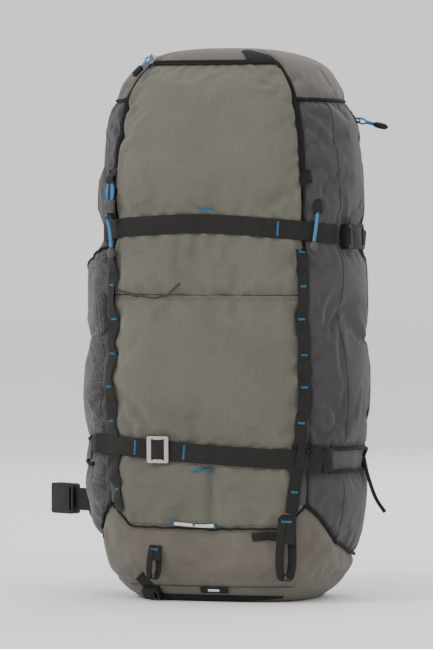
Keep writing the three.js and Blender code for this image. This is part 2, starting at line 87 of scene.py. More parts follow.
def area_light(name, place, target, size, power):
    data = bpy.data.lights.new(name, "AREA")
    data.shape = "DISK"
    data.size = size
    data.energy = power
    light = bpy.data.objects.new(name, data)
    light.location = place
    light.rotation_euler = (Vector(place) - Vector(target)).to_track_quat("Z", "Y").to_euler()
    bpy.context.collection.objects.link(light)


def make_studio():
    area_light("key", (-2.1, -2.2, 2.3), (0, 0, 0.3), 1.1, 52)
    area_light("fill", (2.4, -1.9, 1.1), (0, 0, 0.3), 1.8, 8)
    area_light("top", (0.1, 0.3, 2.6), (0, 0, 0.3), 1.2, 12)
    area_light("behind", (0.3, 2.6, 1.6), (0, 0, 0.3), 1.8, 22)
    world = bpy.data.worlds.new("studio")
    world.use_nodes = True
    background = world.node_tree.nodes["Background"]
    background.inputs["Color"].default_value = (1, 1, 1, 1)
    background.inputs["Strength"].default_value = 1.05
    bpy.context.scene.world = world
    mesh = bpy.data.meshes.new("floor")
    corners = [(-1, -1), (1, -1), (1, 1), (-1, 1)]
    mesh.from_pydata([(x * FLOOR_EDGE, y * FLOOR_EDGE, 0) for x, y in corners], [], [(0, 1, 2, 3)])
    floor = bpy.data.objects.new("floor", mesh)
    bpy.context.collection.objects.link(floor)
    material = bpy.data.materials.new("floor")
    material.use_nodes = True
    shader = material.node_tree.nodes["Principled BSDF"]
    shader.inputs["Base Color"].default_value = (0.93, 0.93, 0.93, 1)
    shader.inputs["Roughness"].default_value = 0.9
    mesh.materials.append(material)


make_camera()
make_studio()

# ---------------------------------------------------------------- materials

WAVE_PERIOD = 0.314  # of the wave texture at a scale of 1


class Paint:
    """A procedural material: helpers that add nodes to it, in metres of the piece's UVs or of the frame."""

    def __init__(self, name, uv):
        self.material = bpy.data.materials.new(name)
        self.material.use_nodes = True
        self.tree = self.material.node_tree
        self.shader = self.tree.nodes["Principled BSDF"]
        coordinates = self.tree.nodes.new("ShaderNodeTexCoord")
        self.place = coordinates.outputs["UV" if uv else "Object"]
        self.space = coordinates.outputs["Object"]

    def node(self, kind, inputs, **settings):
        made = self.tree.nodes.new(kind)
        for key, value in settings.items():
            setattr(made, key, value)
        for key, value in inputs.items():
            if isinstance(value, bpy.types.NodeSocket):
                self.tree.links.new(value, made.inputs[key])
            else:
                made.inputs[key].default_value = value
        return made

    def scaled(self, x, y, z=1.0, source=None):
        made = self.node("ShaderNodeMapping", {"Vector": source or self.place, "Scale": (x, y, z)})
        return made.outputs["Vector"]

    def noise(self, vector, scale, detail=3.0, rough=0.5):
        made = self.node("ShaderNodeTexNoise",
                         {"Vector": vector, "Scale": scale, "Detail": detail, "Roughness": rough})
        return made.outputs["Fac"]

    def wave(self, pitch, direction, distortion=0.0):
        """Ridges a pitch apart."""
        made = self.node("ShaderNodeTexWave", {"Vector": self.place, "Scale": WAVE_PERIOD / pitch,
                                               "Distortion": distortion, "Detail": 1.0},
                         bands_direction=direction)
        return made.outputs["Fac"]

    def math(self, operation, a, b=0.0):
        return self.node("ShaderNodeMath", {0: a, 1: b}, operation=operation).outputs[0]

    def ramp(self, value, low, high, start=0.0, end=1.0):
        made = self.node("ShaderNodeMapRange", {"Value": value, "From Min": start, "From Max": end,
                                                "To Min": low, "To Max": high})
        return made.outputs["Result"]

    def mix(self, factor, a, b, blend="MIX"):
        made = self.node("ShaderNodeMix", {}, data_type="RGBA", blend_type=blend)
        for key, value in (("Factor", factor), ("A", a), ("B", b)):
            socket = [s for s in made.inputs if s.name == key and s.enabled][0]
            if isinstance(value, bpy.types.NodeSocket):
                self.tree.links.new(value, socket)
            else:
                socket.default_value = value
        return [s for s in made.outputs if s.enabled][0]

    def shaded(self, color, shade):
        """The colour times a grey value."""
        grey = self.node("ShaderNodeCombineColor", {"Red": shade, "Green": shade, "Blue": shade})
        return self.mix(1.0, color, grey.outputs[0], "MULTIPLY")

    def finish(self, color, roughness, height=None, bump=0.2, depth=0.0004, **numbers):
        self.link(color, "Base Color")
        self.link(roughness, "Roughness")
        if height is not None:
            made = self.node("ShaderNodeBump", {"Height": height, "Strength": bump, "Distance": depth})
            self.tree.links.new(made.outputs["Normal"], self.shader.inputs["Normal"])
        for key, value in numbers.items():
            self.shader.inputs[key.replace("_", " ")].default_value = value
        return self.material

    def link(self, value, socket):
        if isinstance(value, bpy.types.NodeSocket):
            self.tree.links.new(value, self.shader.inputs[socket])
        else:
            self.shader.inputs[socket].default_value = value


def tone(color, factor):
    return tuple(min(c * factor, 1.0) for c in color[:3]) + (1.0,)


def fabric(name, color, uv=True, pitch=0.0011, ripstop=0.0, contrast=0.3, bump=0.35, sheen=0.15,
           melange=0.1):
    """Woven cloth: over and under threads, uneven dye, slubs, and a ripstop grid where it has one."""
    p = Paint(name, uv)
    warp = p.wave(pitch, "X")
    weft = p.wave(pitch, "Y")
    weave = p.math("MULTIPLY", warp, weft)
    if not uv:
        weave = p.math("MULTIPLY", p.wave(pitch, "Z"), p.math("ADD", warp, weft))
    slub = p.noise(p.scaled(60, 1400), 1.0)
    slub_across = p.noise(p.scaled(1400, 60), 1.0)
    threads = p.math("ADD", slub, slub_across)
    dye = p.noise(p.space, 7.0, 4.0, 0.6)
    shade = p.math("ADD", p.ramp(weave, 1 - contrast, 1 + contrast * 0.4),
                   p.ramp(threads, -melange, melange, 0.6, 1.4))
    shade = p.math("MULTIPLY", shade, p.ramp(dye, 0.88, 1.12, 0.3, 0.7))
    height = p.math("ADD", weave, p.math("MULTIPLY", threads, 0.5))
    if ripstop:
        grid = p.math("MAXIMUM", p.wave(ripstop, "X"), p.wave(ripstop, "Y"))
        line = p.ramp(grid, 0.0, 1.0, 0.965, 1.0)
        shade = p.math("MULTIPLY", shade, p.ramp(line, 1.0, 1.07))
        height = p.math("ADD", height, p.math("MULTIPLY", line, 0.8))
    return p.finish(p.shaded(tone(color, 1.0), shade), p.ramp(weave, 0.9, 0.74), height, bump, pitch * 0.5,
                    Sheen_Weight=sheen, Sheen_Roughness=0.5, Specular_IOR_Level=0.3)


def webbing_paint(name, color, rib=0.0016):
    """Flat woven tape: ribs across, a herringbone of fine threads along, and paler worn edges."""
    p = Paint(name, True)
    ribs = p.wave(rib, "Y")
    threads = p.wave(0.0012, "X", 1.5)
    wear = p.noise(p.space, 60.0, 5.0, 0.7)
    shade = p.math("MULTIPLY", p.ramp(ribs, 0.7, 1.15), p.ramp(threads, 0.85, 1.1))
    shade = p.math("MULTIPLY", shade, p.ramp(wear, 0.85, 1.35, 0.35, 0.8))
    height = p.math("ADD", ribs, p.math("MULTIPLY", threads, 0.4))
    return p.finish(p.shaded(tone(color, 1.0), shade), p.ramp(ribs, 0.85, 0.62), height, 0.5, 0.0004,
                    Sheen_Weight=0.05, Specular_IOR_Level=0.3)


def plastic(name, color, rough=0.42, grain=0.25):
    """Moulded nylon: a fine spark texture, rubbed smoother and paler where hands touch it."""
    p = Paint(name, False)
    spark = p.noise(p.space, 2600.0, 2.0, 0.6)
    rub = p.noise(p.space, 55.0, 4.0, 0.65)
    tint = p.mix(p.ramp(rub, 0.0, 1.0, 0.45, 0.75), tone(color, 0.85), tone(color, 1.5))
    roughness = p.math("ADD", p.ramp(rub, rough + 0.08, rough - 0.1, 0.3, 0.7), p.ramp(spark, -0.05, 0.05))
    return p.finish(tint, roughness, spark, grain, 0.0002, Specular_IOR_Level=0.32)


def metal(name, color, rough=0.3):
    """Cast and tumbled alloy: faint scratches and a cloudy finish."""
    p = Paint(name, False)
    scratch = p.noise(p.scaled(300, 60, 2400, p.space), 1.0, 4.0, 0.7)
    cloud = p.noise(p.space, 90.0, 3.0)
    tint = p.mix(cloud, tone(color, 0.8), tone(color, 1.1))
    roughness = p.ramp(scratch, rough - 0.08, rough + 0.2, 0.3, 0.7)
    return p.finish(tint, roughness, scratch, 0.15, 0.0001, Metallic=1.0)


def spacer_mesh(name, color, hole=0.0032, uv=False):
    """Knitted mesh: staggered dark holes between pale ribs."""
    p = Paint(name, uv)
    cells = p.node("ShaderNodeTexVoronoi", {"Vector": p.place, "Scale": 1 / hole, "Randomness": 0.25})
    holes = p.ramp(cells.outputs["Distance"], 0.0, 1.0, 0.15, 0.42)
    mottle = p.noise(p.space, 120.0, 4.0, 0.7)
    tint = p.mix(holes, tone(color, 0.35), tone(color, 1.25))
    tint = p.shaded(tint, p.ramp(mottle, 0.8, 1.25, 0.3, 0.7))
    return p.finish(tint, 0.85, holes, 0.8, 0.0007, Sheen_Weight=0.2, Specular_IOR_Level=0.25)


def cord_paint(name, color, fleck):
    """Braided cord: diagonal strands with a fleck of a second colour."""
    p = Paint(name, False)
    scale = WAVE_PERIOD / 0.0016
    diagonal = p.node("ShaderNodeTexWave", {"Vector": p.space, "Scale": scale, "Distortion": 2.0},
                      bands_direction="DIAGONAL").outputs["Fac"]
    speck = p.noise(p.space, 900.0, 2.0)
    tint = p.mix(p.ramp(speck, 0.0, 1.0, 0.55, 0.7), tone(color, 1.0), tone(fleck, 1.0))
    tint = p.mix(p.ramp(diagonal, 0.35, 0.0), tint, tone(color, 0.4))
    return p.finish(tint, 0.62, diagonal, 0.5, 0.0004, Sheen_Weight=0.1)


OLIVE = (0.146, 0.142, 0.112)
PAINTS = {
    "olive": fabric("olive_cloth", OLIVE, ripstop=0.0075),
    "olive_low": fabric("olive_cloth_lower", (0.141, 0.137, 0.108), ripstop=0.0075),
    "cap": fabric("cap_cloth", (0.136, 0.118, 0.104), pitch=0.0012, contrast=0.25, melange=0.14),
    "boot": fabric("boot_cloth", (0.14, 0.124, 0.104), pitch=0.0013, contrast=0.22, bump=0.4, melange=0.12),
    "side": fabric("side_cloth", (0.06, 0.0555, 0.059), pitch=0.0012, contrast=0.3, melange=0.15),
    "lining": fabric("lining_cloth", (0.16, 0.17, 0.18), pitch=0.0009, sheen=0.05),
    "binding": fabric("binding_tape", (0.0085, 0.0082, 0.0078), pitch=0.0012, bump=0.5, sheen=0.03),
    "pad_cloth": fabric("pad_cloth", (0.013, 0.013, 0.0135), uv=False, pitch=0.0013, bump=0.5, sheen=0.05),
    "pad_mesh": spacer_mesh("pad_mesh", (0.042, 0.042, 0.044)),
    "back_mesh": spacer_mesh("back_mesh", (0.062, 0.062, 0.066), 0.0036, uv=True),
    "pocket_mesh": spacer_mesh("pocket_mesh", (0.06, 0.059, 0.06), 0.0024, uv=True),
    "webbing": webbing_paint("webbing", (0.0105, 0.0096, 0.0086)),
    "reflective": webbing_paint("reflective_tape", (0.72, 0.7, 0.66), 0.0011),
    "plastic": plastic("buckle_plastic", (0.0065, 0.0063, 0.006), 0.5),
    "grey_plastic": plastic("grey_plastic", (0.06, 0.055, 0.05), 0.5),
    "sheet": plastic("frame_sheet_plastic", (0.02, 0.02, 0.022), 0.5, 0.1),
    "alloy": metal("strap_alloy", (0.5, 0.43, 0.41)),
    "steel": metal("zip_steel", (0.55, 0.55, 0.56), 0.28),
    "cord": cord_paint("blue_cord", (0.022, 0.165, 0.37), (0.09, 0.3, 0.5)),
    "thread": fabric("blue_thread", (0.022, 0.15, 0.3), uv=False, pitch=0.0009, bump=0.6),
    "olive_thread": fabric("olive_thread", (0.1, 0.097, 0.075), uv=False, pitch=0.0009, bump=0.6),
    "dark_thread": fabric("dark_thread", (0.05, 0.048, 0.042), uv=False, pitch=0.0009, bump=0.6),
    "stay": metal("stay_alloy", (0.6, 0.6, 0.62), 0.35),
}

# ---------------------------------------------------------------- the shell of the bag

# Half of the plan, front centre to back centre, and the profile: height and the plan's scale
# across, in front and behind. A station counts along the plan: 2 is the front corner seam.
PLAN = [(0, -96), (62, -94), (106, -80), (127, -54), (137, -12),
        (136, 32), (124, 66), (98, 84), (50, 88), (0, 88)]
PROFILE = [(0, 0, 0, 0), (0, 0.6, 0.62, 0.8), (6, 0.74, 0.76, 0.9), (20, 0.85, 0.86, 0.97),
           (45, 0.93, 0.93, 1), (90, 0.985, 0.98, 1), (160, 1.02, 1, 1), (220, 1.03, 1, 1),
           (300, 1, 1, 1), (400, 0.98, 0.985, 1), (465, 0.95, 0.955, 1), (508, 0.905, 0.91, 1),
           (535, 0.84, 0.85, 0.99), (555, 0.74, 0.75, 0.96), (568, 0.63, 0.64, 0.9),
           (577, 0.48, 0.5, 0.78), (581.5, 0.27, 0.3, 0.5), (583, 0, 0, 0)]
RING = np.array(PLAN + [(-x, y) for x, y in PLAN[-2:0:-1]], float) * MM
STATIONS = len(RING)
HALF = STATIONS // 2
ROWS = np.array(PROFILE + [(581.5, -0.27, -0.3, -0.5)], float)
ROWS[:, 0] *= MM
CROWN = len(PROFILE) - 1.0
BASE_EDGE = ([0, 1.4, 2, 2.6, 3.4, 4.5, 5.5, 9], [0.077, 0.078, 0.102, 0.086, 0.062, 0.048, 0.044, 0.044])
FLAP_BOTTOM, FLAP_TOP, POCKET_SEAM, CAP_EDGE = 0.447, 0.566, 0.322, 0.527
STATION = 0.05  # about one station along the plan, in metres


def wrapped(s):
    """A station counted from the front centre, at most half way round either side."""
    return ((np.asarray(s, float) + HALF) % STATIONS) - HALF


def catmull(table, t, closed):
    k = np.floor(t).astype(int)
    f = (t - k)[..., None]
    count = len(table)
    at = [table[(k + i) % count if closed else np.clip(k + i, 0, count - 1)] for i in (-1, 0, 1, 2)]
    return 0.5 * (2 * at[1] + (at[2] - at[0]) * f + (2 * at[0] - 5 * at[1] + 4 * at[2] - at[3]) * f ** 2
                  + (3 * at[1] - at[0] - 3 * at[2] + at[3]) * f ** 3)


def surface(s, row):
    s, row = np.broadcast_arrays(np.asarray(s, float), np.asarray(row, float))
    plan = catmull(RING, s, True)
    z, across, front, back = np.moveaxis(catmull(ROWS, row, False), -1, 0)
    depth = np.where(plan[..., 1] < 0, front, back)
    return np.stack([plan[..., 0] * across, plan[..., 1] * depth, np.maximum(z, 0)], -1)


ROW_SAMPLES = np.linspace(1, CROWN, 3000)
ROW_HEIGHTS = np.maximum.accumulate(surface(0, ROW_SAMPLES)[:, 2])


def row_at(z):
    return np.interp(z, ROW_HEIGHTS, ROW_SAMPLES)


def unit(v):
    return v / np.maximum(np.linalg.norm(v, axis=-1, keepdims=True), 1e-9)


def normal(s, row):
    row = np.clip(row, 0.05, CROWN - 0.02)
    along = surface(s + 0.02, row) - surface(s - 0.02, row)
    up = surface(s, row + 0.015) - surface(s, row - 0.015)
    return unit(np.cross(along, up))


def bell(x, width):
    return np.exp(-(x / width) ** 2)


def strap_line(s, line):
    return np.interp(s, [p[0] for p in line], [p[1] * MM for p in line])


UPPER_LINE = [(-2.6, 387), (-1.2, 394), (0, 398), (1.2, 392), (3.27, 385), (5.6, 379)]
LOWER_LINE = [(-4.7, 150), (-2.7, 168), (-1.9, 167), (0, 156), (1.3, 152), (2.25, 151), (4.7, 148)]


def shaped(s, z):
    """How far the filled bag stands off the smooth shell: straps bite, pockets belly, cloth puckers."""
    signed = wrapped(s)
    side = np.abs(signed)
    front = np.clip((5.3 - side) / 0.5, 0, 1)
    bite_up = z - strap_line(signed, UPPER_LINE)
    bite_low = z - strap_line(signed, LOWER_LINE)
    off = 0
    for bite, depth, reach, proud in ((bite_up, 3.6, 0.017, 1.8), (bite_low, 3.2, 0.018, 1.6)):
        beside = bell(bite - 0.045, 0.03) + bell(bite + 0.045, 0.03)
        off += -depth * bell(bite, reach) * front + proud * beside * front
    face = np.clip((2.2 - side) / 0.8, 0, 1)
    off += 3.0 * face * np.clip((POCKET_SEAM - z) / 0.03, 0, 1) * np.clip((z - 0.07) / 0.06, 0, 1)
    off += -0.7 * bell(z - POCKET_SEAM, 0.006) * face
    off += -1.8 * bell(side - 2, 0.09) * np.clip((z - 0.08) / 0.03, 0, 1)
    off += -1.6 * bell(side - 7, 0.12)
    off += -2.0 * bell(signed - 0.12 + 1.2 * (z - 0.13), 0.05) * bell(z - 0.132, 0.035)
    return off * MM


RANDOM = np.random.default_rng(7)


def make_folds():
    """Creases as strokes on the unrolled skin: start, direction, length, width and depth."""
    folds = []

    def scatter(count, stations, heights, angle, spread, length, depth):
        for _ in range(count):
            folds.append((RANDOM.uniform(*stations), RANDOM.uniform(*heights),
                          math.radians(RANDOM.uniform(angle - spread, angle + spread)),
                          RANDOM.uniform(*length), RANDOM.uniform(0.0035, 0.008),
                          RANDOM.uniform(*depth) * RANDOM.choice([-1, 1, 1])))

    for side in (-1, 1):
        edge = sorted((side * 1.9, side * 1.6))
        scatter(16, edge, (0.34, 0.55), 90 - side * 80, 24, (0.02, 0.06), (0.5, 1.4))
        scatter(14, edge, (0.1, 0.31), 90 - side * 80, 26, (0.02, 0.06), (0.5, 1.4))
        scatter(26, sorted((side * 2.3, side * 6.5)), (0.09, 0.5), 90, 60, (0.03, 0.09), (0.5, 1.5))
    scatter(18, (-1.6, 1.6), (0.1, 0.5), 0, 70, (0.03, 0.08), (0.4, 1.0))
    scatter(22, (-2.5, 4.5), (0.36, 0.43), 90, 35, (0.02, 0.05), (0.5, 1.3))
    scatter(20, (-3.5, 4.5), (0.12, 0.2), 90, 35, (0.02, 0.05), (0.5, 1.3))
    scatter(20, (-8, 8), (0.5, 0.575), 90, 50, (0.02, 0.06), (0.4, 1.2))
    scatter(14, (-4, 4), (0.02, 0.07), 90, 60, (0.02, 0.05), (0.4, 1.0))
    return folds


FOLDS = make_folds()


def folded(s, z):
    signed = wrapped(s)
    off = np.zeros(np.shape(signed))
    for s0, z0, angle, length, width, depth in FOLDS:
        x, y = (signed - s0) * STATION, z - z0
        along = x * math.cos(angle) + y * math.sin(angle)
        across = y * math.cos(angle) - x * math.sin(angle) + 6 * (along - length / 2) ** 2
        taper = np.clip(along / length, 0, 1) * np.clip(1 - along / length, 0, 1) * 4
        off += depth * MM * taper * (bell(across, width) - 0.4 * bell(across - width * 1.8, width))
    return off * np.clip((0.581 - z) / 0.018, 0, 1)


SWELL_FRAMES, SWELL_LIMIT = 18, 0.008
PUFF_FRAMES, PUFF_LIMIT = 20, 0.004
SIM_ROWS = row_at(np.linspace(0.02, 0.576, 96))
SIM_COLUMNS = np.linspace(-9, 9, 126, endpoint=False)


def seam_hold(s, z):
    """How firmly a point of the skin is held while it swells: 1 on a seam or under a strap."""
    side = np.abs(s)
    edge = np.interp(side, *BASE_EDGE)
    hold = np.maximum(bell(side - 2, 0.12) * (z > edge), bell(side - 7, 0.15))
    hold = np.maximum(hold, bell(z - edge, 0.006))
    hold = np.maximum(hold, bell(z - strap_line(s, UPPER_LINE), 0.012) * (side < 5.2))
    hold = np.maximum(hold, bell(z - strap_line(s, LOWER_LINE), 0.012) * (side < 4.7))
    hold = np.maximum(hold, np.where(side < 2, bell(z - POCKET_SEAM, 0.006), bell(z - CAP_EDGE, 0.006)))
    hold = np.maximum(hold, np.where(side < 2.1, bell(z - FLAP_TOP, 0.008), 0))
    hold = np.maximum(hold, (side > 7) * 0.85)
    return np.maximum(hold, (z < 0.03) * 0.8)


def capped(moved, limit):
    """The factor that keeps each movement within a limit."""
    length = np.linalg.norm(moved, axis=-1, keepdims=True)
    return np.minimum(1, limit / np.maximum(length, 1e-9))


def swell():
    """The skin as cloth a little too large for the shell, held at its seams and blown out by the load."""
    s, row = np.meshgrid(SIM_COLUMNS, SIM_ROWS)
    base = surface(s, row)
    z = base[..., 2]
    start = base + normal(s, row) * (shaped(s, z) + folded(s, z))[..., None]
    rows, columns = s.shape
    index = np.arange(rows * columns).reshape(rows, columns)
    beside = np.roll(index, -1, axis=1)
    faces = np.stack([index[:-1], beside[:-1], beside[1:], index[1:]], -1).reshape(-1, 4)
    mesh = bpy.data.meshes.new("skin")
    mesh.from_pydata(start.reshape(-1, 3).tolist(), [], faces.tolist())
    skin = bpy.data.objects.new("skin", mesh)
    bpy.context.collection.objects.link(skin)
    group = skin.vertex_groups.new(name="held")
    for i, weight in enumerate(seam_hold(s, z).reshape(-1)):
        group.add([i], float(weight), "REPLACE")
    cloth = skin.modifiers.new("cloth", "CLOTH")
    set_cloth(cloth, 1.6, SWELL_FRAMES)
    cloth.settings.shrink_min = -0.035
    cloth.settings.vertex_group_mass = "held"
    cloth.settings.bending_stiffness = 0.35
    result = run_cloth(skin, SWELL_FRAMES).reshape(rows, columns, 3)
    bpy.data.objects.remove(skin)
    moved = result - start
    calm = np.clip((0.578 - z) / 0.022, 0, 1)[..., None]
    return moved * calm * capped(moved, SWELL_LIMIT)


def set_cloth(cloth, pressure, frames):
    settings = cloth.settings
    settings.quality = 5
    settings.mass = 0.25
    settings.use_pressure = True
    settings.uniform_pressure_force = pressure
    settings.effector_weights.gravity = 0
    cloth.collision_settings.use_collision = False
    cloth.collision_settings.use_self_collision = False
    cloth.point_cache.frame_start = 1
    cloth.point_cache.frame_end = frames


def run_cloth(piece, frames):
    scene = bpy.context.scene
    for frame_number in range(1, frames + 1):
        scene.frame_set(frame_number)
    graph = bpy.context.evaluated_depsgraph_get()
    evaluated = piece.evaluated_get(graph)
    mesh = evaluated.to_mesh()
    points = np.empty(len(mesh.vertices) * 3)
    mesh.vertices.foreach_get("co", points)
    evaluated.to_mesh_clear()
    scene.frame_set(1)
    return points.reshape(-1, 3)


SWOLLEN = swell()


def cubic(f):
    """How much four neighbours count at a fraction f between the middle two."""
    return [-f / 2 + f ** 2 - f ** 3 / 2, 1 - 2.5 * f ** 2 + 1.5 * f ** 3,
            f / 2 + 2 * f ** 2 - 1.5 * f ** 3, (f ** 3 - f ** 2) / 2]


def swollen(s, row):
    """The simulated movement of the skin, read smoothly between its points."""
    if SWOLLEN is None:
        return np.zeros(np.shape(s) + (3,))
    column = ((s + HALF) % STATIONS) * len(SIM_COLUMNS) / STATIONS
    line = np.interp(row, SIM_ROWS, np.arange(len(SIM_ROWS)))
    total = np.zeros(np.shape(s) + (3,))
    k = np.floor(line).astype(int)
    c = np.floor(column).astype(int)
    for i, wi in zip((-1, 0, 1, 2), cubic(line - k)):
        for j, wj in zip((-1, 0, 1, 2), cubic(column - c)):
            cell = SWOLLEN[np.clip(k + i, 0, len(SIM_ROWS) - 1), (c + j) % len(SIM_COLUMNS)]
            total += (wi * wj)[..., None] * cell
    fade_low = np.clip((row - SIM_ROWS[0] + 0.3) / 0.3, 0, 1)
    fade_high = np.clip((CROWN - row) / (CROWN - SIM_ROWS[-1]), 0, 1)
    return total * (fade_low * fade_high)[..., None]


def skin(s, row, lift=0.0):
    """A point of the filled bag's surface, lifted along its normal."""
    s, row = np.broadcast_arrays(np.asarray(s, float), np.asarray(row, float))
    base = surface(s, row)
    z = base[..., 2]
    off = shaped(s, z) + folded(s, z)
    off = off * np.clip(z / 0.012, 0, 1)
    return base + normal(s, row) * (off + lift)[..., None] + swollen(s, row)


def skin_normal(s, row):
    row = np.clip(row, 0.05, CROWN - 0.02)
    along = skin(s + 0.04, row) - skin(s - 0.04, row)
    up = skin(s, row + 0.03) - skin(s, row - 0.03)
    return unit(np.cross(along, up))


# ---------------------------------------------------------------- meshes


def make_object(name, points, faces, paint, uv=None, sharp=50):
    mesh = bpy.data.meshes.new(name)
    mesh.from_pydata([tuple(p) for p in np.asarray(points).reshape(-1, 3)], [], faces)
    if uv is not None:
        layer = mesh.uv_layers.new(name="metres")
        corner = np.empty(len(mesh.loops), int)
        mesh.loops.foreach_get("vertex_index", corner)
        layer.data.foreach_set("uv", np.asarray(uv, float).reshape(-1, 2)[corner].reshape(-1))
    mesh.validate()
    piece = bpy.data.objects.new(name, mesh)
    bpy.context.collection.objects.link(piece)
    mesh.materials.append(PAINTS[paint])
    smooth(piece, sharp)
    return piece


def smooth(piece, sharp=50):
    piece.data.shade_smooth()
    piece.data.set_sharp_from_angle(angle=math.radians(sharp))


def outward_faces(piece):
    made = bmesh.new()
    made.from_mesh(piece.data)
    bmesh.ops.recalc_face_normals(made, faces=made.faces)
    made.to_mesh(piece.data)
    made.free()


def sheet_faces(rows, columns, ring=False, offset=0, flip=False):
    index = np.arange(rows * columns).reshape(rows, columns) + offset
    if ring:
        index = np.concatenate([index, index[:, :1]], 1)
    quads = np.stack([index[:-1, :-1], index[:-1, 1:], index[1:, 1:], index[1:, :-1]], -1).reshape(-1, 4)
    return (quads[:, ::-1] if flip else quads).tolist()


def slab(name, outer, inner, paint, uv, ring=False, inside=None):
    """The closed solid between two grids; its inner face may have a second material."""
    rows, columns = outer.shape[:2]
    count = rows * columns
    faces = sheet_faces(rows, columns, ring) + sheet_faces(rows, columns, ring, count, True)
    index = np.arange(count).reshape(rows, columns)
    loops = [(index[0], True), (index[-1], False)]
    if not ring:
        loops += [(index[:, 0], False), (index[:, -1], True)]
    for line, flip in loops:
        line = np.append(line, line[0]) if ring else line
        rim = [(a, b, b + count, a + count) for a, b in zip(line[:-1].tolist(), line[1:].tolist())]
        faces += [f[::-1] for f in rim] if flip else rim
    piece = make_object(name, np.concatenate([outer.reshape(-1, 3), inner.reshape(-1, 3)]), faces, paint,
                        np.concatenate([uv.reshape(-1, 2)] * 2))
    if inside:
        piece.data.materials.append(PAINTS[inside])
        second = len(sheet_faces(rows, columns, ring))
        for polygon in piece.data.polygons[second:2 * second]:
            polygon.material_index = 1
    outward_faces(piece)
    return piece


def lengths(grid, axis):
    step = np.linalg.norm(np.diff(grid, axis=axis), axis=-1)
    zero = np.zeros_like(np.take(step, [0], axis=axis))
    return np.concatenate([zero, np.cumsum(step, axis=axis)], axis=axis)


CLOTH = 0.0018
STITCH_PITCH, STITCH_LENGTH, STITCH_RADIUS = 0.0036, 0.0024, 0.0005
STITCHES = {}


def stitch(body, paint, points, normals):
    """Queues a run of thread stitches along a line of points; they are made at the end."""
    travelled = lengths(points, 0)
    count = max(int(travelled[-1] / STITCH_PITCH), 2)
    at = np.linspace(STITCH_PITCH / 2, travelled[-1] - STITCH_PITCH / 2, count)
    place = np.stack([np.interp(at, travelled, points[:, i]) for i in range(3)], -1)
    up = unit(np.stack([np.interp(at, travelled, normals[:, i]) for i in range(3)], -1))
    along = unit(np.gradient(place, axis=0))
    STITCHES.setdefault((body, paint), []).append((place, along, up))


def make_stitches():
    for (body, paint), runs in STITCHES.items():
        points, faces = [], []
        for place, along, up in runs:
            side = np.cross(up, along)
            for p, a, n, b in zip(place, along, up, side):
                start = len(points)
                for k, fat in ((-0.5, 0.3), (-0.25, 1.0), (0.25, 1.0), (0.5, 0.3)):
                    for turn in range(6):
                        angle = turn * math.pi / 3
                        rim = (n * math.sin(angle) * 0.8 + b * math.cos(angle)) * STITCH_RADIUS * fat
                        points.append(p + a * k * STITCH_LENGTH + rim)
                for k in range(3):
                    for turn in range(6):
                        i, j = start + k * 6 + turn, start + k * 6 + (turn + 1) % 6
                        faces.append((i, j, j + 6, i + 6))
                faces.append(tuple(start + i for i in range(5, -1, -1)))
                faces.append(tuple(start + 18 + i for i in range(6)))
        piece = make_object(f"stitching_{body}_{paint}", points, faces, paint)
        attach(piece, body)


def panel(name, node, body, paint, columns, low, high, rows, inside="lining", stitched=(), seams="lrbt",
          roll=0.0018, pocket=False):
    """A sewn panel of the skin between stations and heights. Its seams turn in, with topstitching."""
    s = np.asarray(columns, float)
    v = np.linspace(0, 1, rows)[:, None]
    row = row_at(low(s)) * (1 - v) + row_at(high(s)) * v
    s = np.broadcast_to(s, row.shape)
    outer = skin(s, row)
    out = skin_normal(s, row)
    across, up = lengths(outer, 1), lengths(outer, 0)
    far = {"l": across, "r": across[:, -1:] - across, "b": up, "t": up[-1:] - up}
    if pocket:
        outer = outer + out * (0.0012 + pocket_rise(s, surface(s, row)[..., 2]))[..., None]
    for edge in seams:
        turned = roll * bell(far[edge], 0.0022) + 0.4 * roll * bell(far[edge], 0.006)
        outer = outer - out * turned[..., None]
    inner = outer - out * CLOTH
    uv = np.stack([across - across[:, -1:] / 2, up], -1)
    piece = slab(name, outer, inner, paint, uv, inside=inside)
    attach(piece, body)
    if node:
        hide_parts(node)
    for edge, thread, inset in stitched:
        stitch(body, thread, *edge_line(outer, out, far[edge], edge, inset))
    return piece


def edge_line(outer, out, far, edge, inset):
    """The line on a grid a fixed distance in from one of its edges."""
    points, normals = [], []
    vertical = edge in "lr"
    for k in range(outer.shape[0] if vertical else outer.shape[1]):
        d = far[k] if vertical else far[:, k]
        grid = outer[k] if vertical else outer[:, k]
        up = out[k] if vertical else out[:, k]
        order = np.argsort(d)
        points.append([np.interp(inset, d[order], grid[order, i]) for i in range(3)])
        normals.append([np.interp(inset, d[order], up[order, i]) for i in range(3)])
    return np.array(points)[1:-1], np.array(normals)[1:-1]


def tape(name, body, points, side, width, thickness, paint="webbing"):
    """A webbing strip along a line of points; side is the direction across it at each point."""
    points, side = np.asarray(points, float), np.asarray(side, float)
    along = unit(np.gradient(points, axis=0))
    side = unit(side - along * np.sum(side * along, -1, keepdims=True))
    up = np.cross(side, along)
    width = np.broadcast_to(width, len(points))
    k = np.linspace(-0.5, 0.5, 6)
    edge = np.where(np.abs(k) > 0.49, 0.25, 1.0)
    across = points[:, None] + side[:, None] * (k[:, None] * width[:, None, None])
    raised = up[:, None] * (edge * thickness / 2)[:, None]
    uv = np.stack(np.broadcast_arrays(k[None] * width[:, None], lengths(points, 0)[:, None]), -1)
    piece = slab(name, across + raised, across - raised, paint, uv)
    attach(piece, body)
    return piece


def smooth_line(points, count):
    points = np.asarray(points, float)
    t = np.linspace(0, len(points) - 1, count)
    extended = np.concatenate([[2 * points[0] - points[1]], points, [2 * points[-1] - points[-2]]])
    return catmull(extended, t + 1, False)


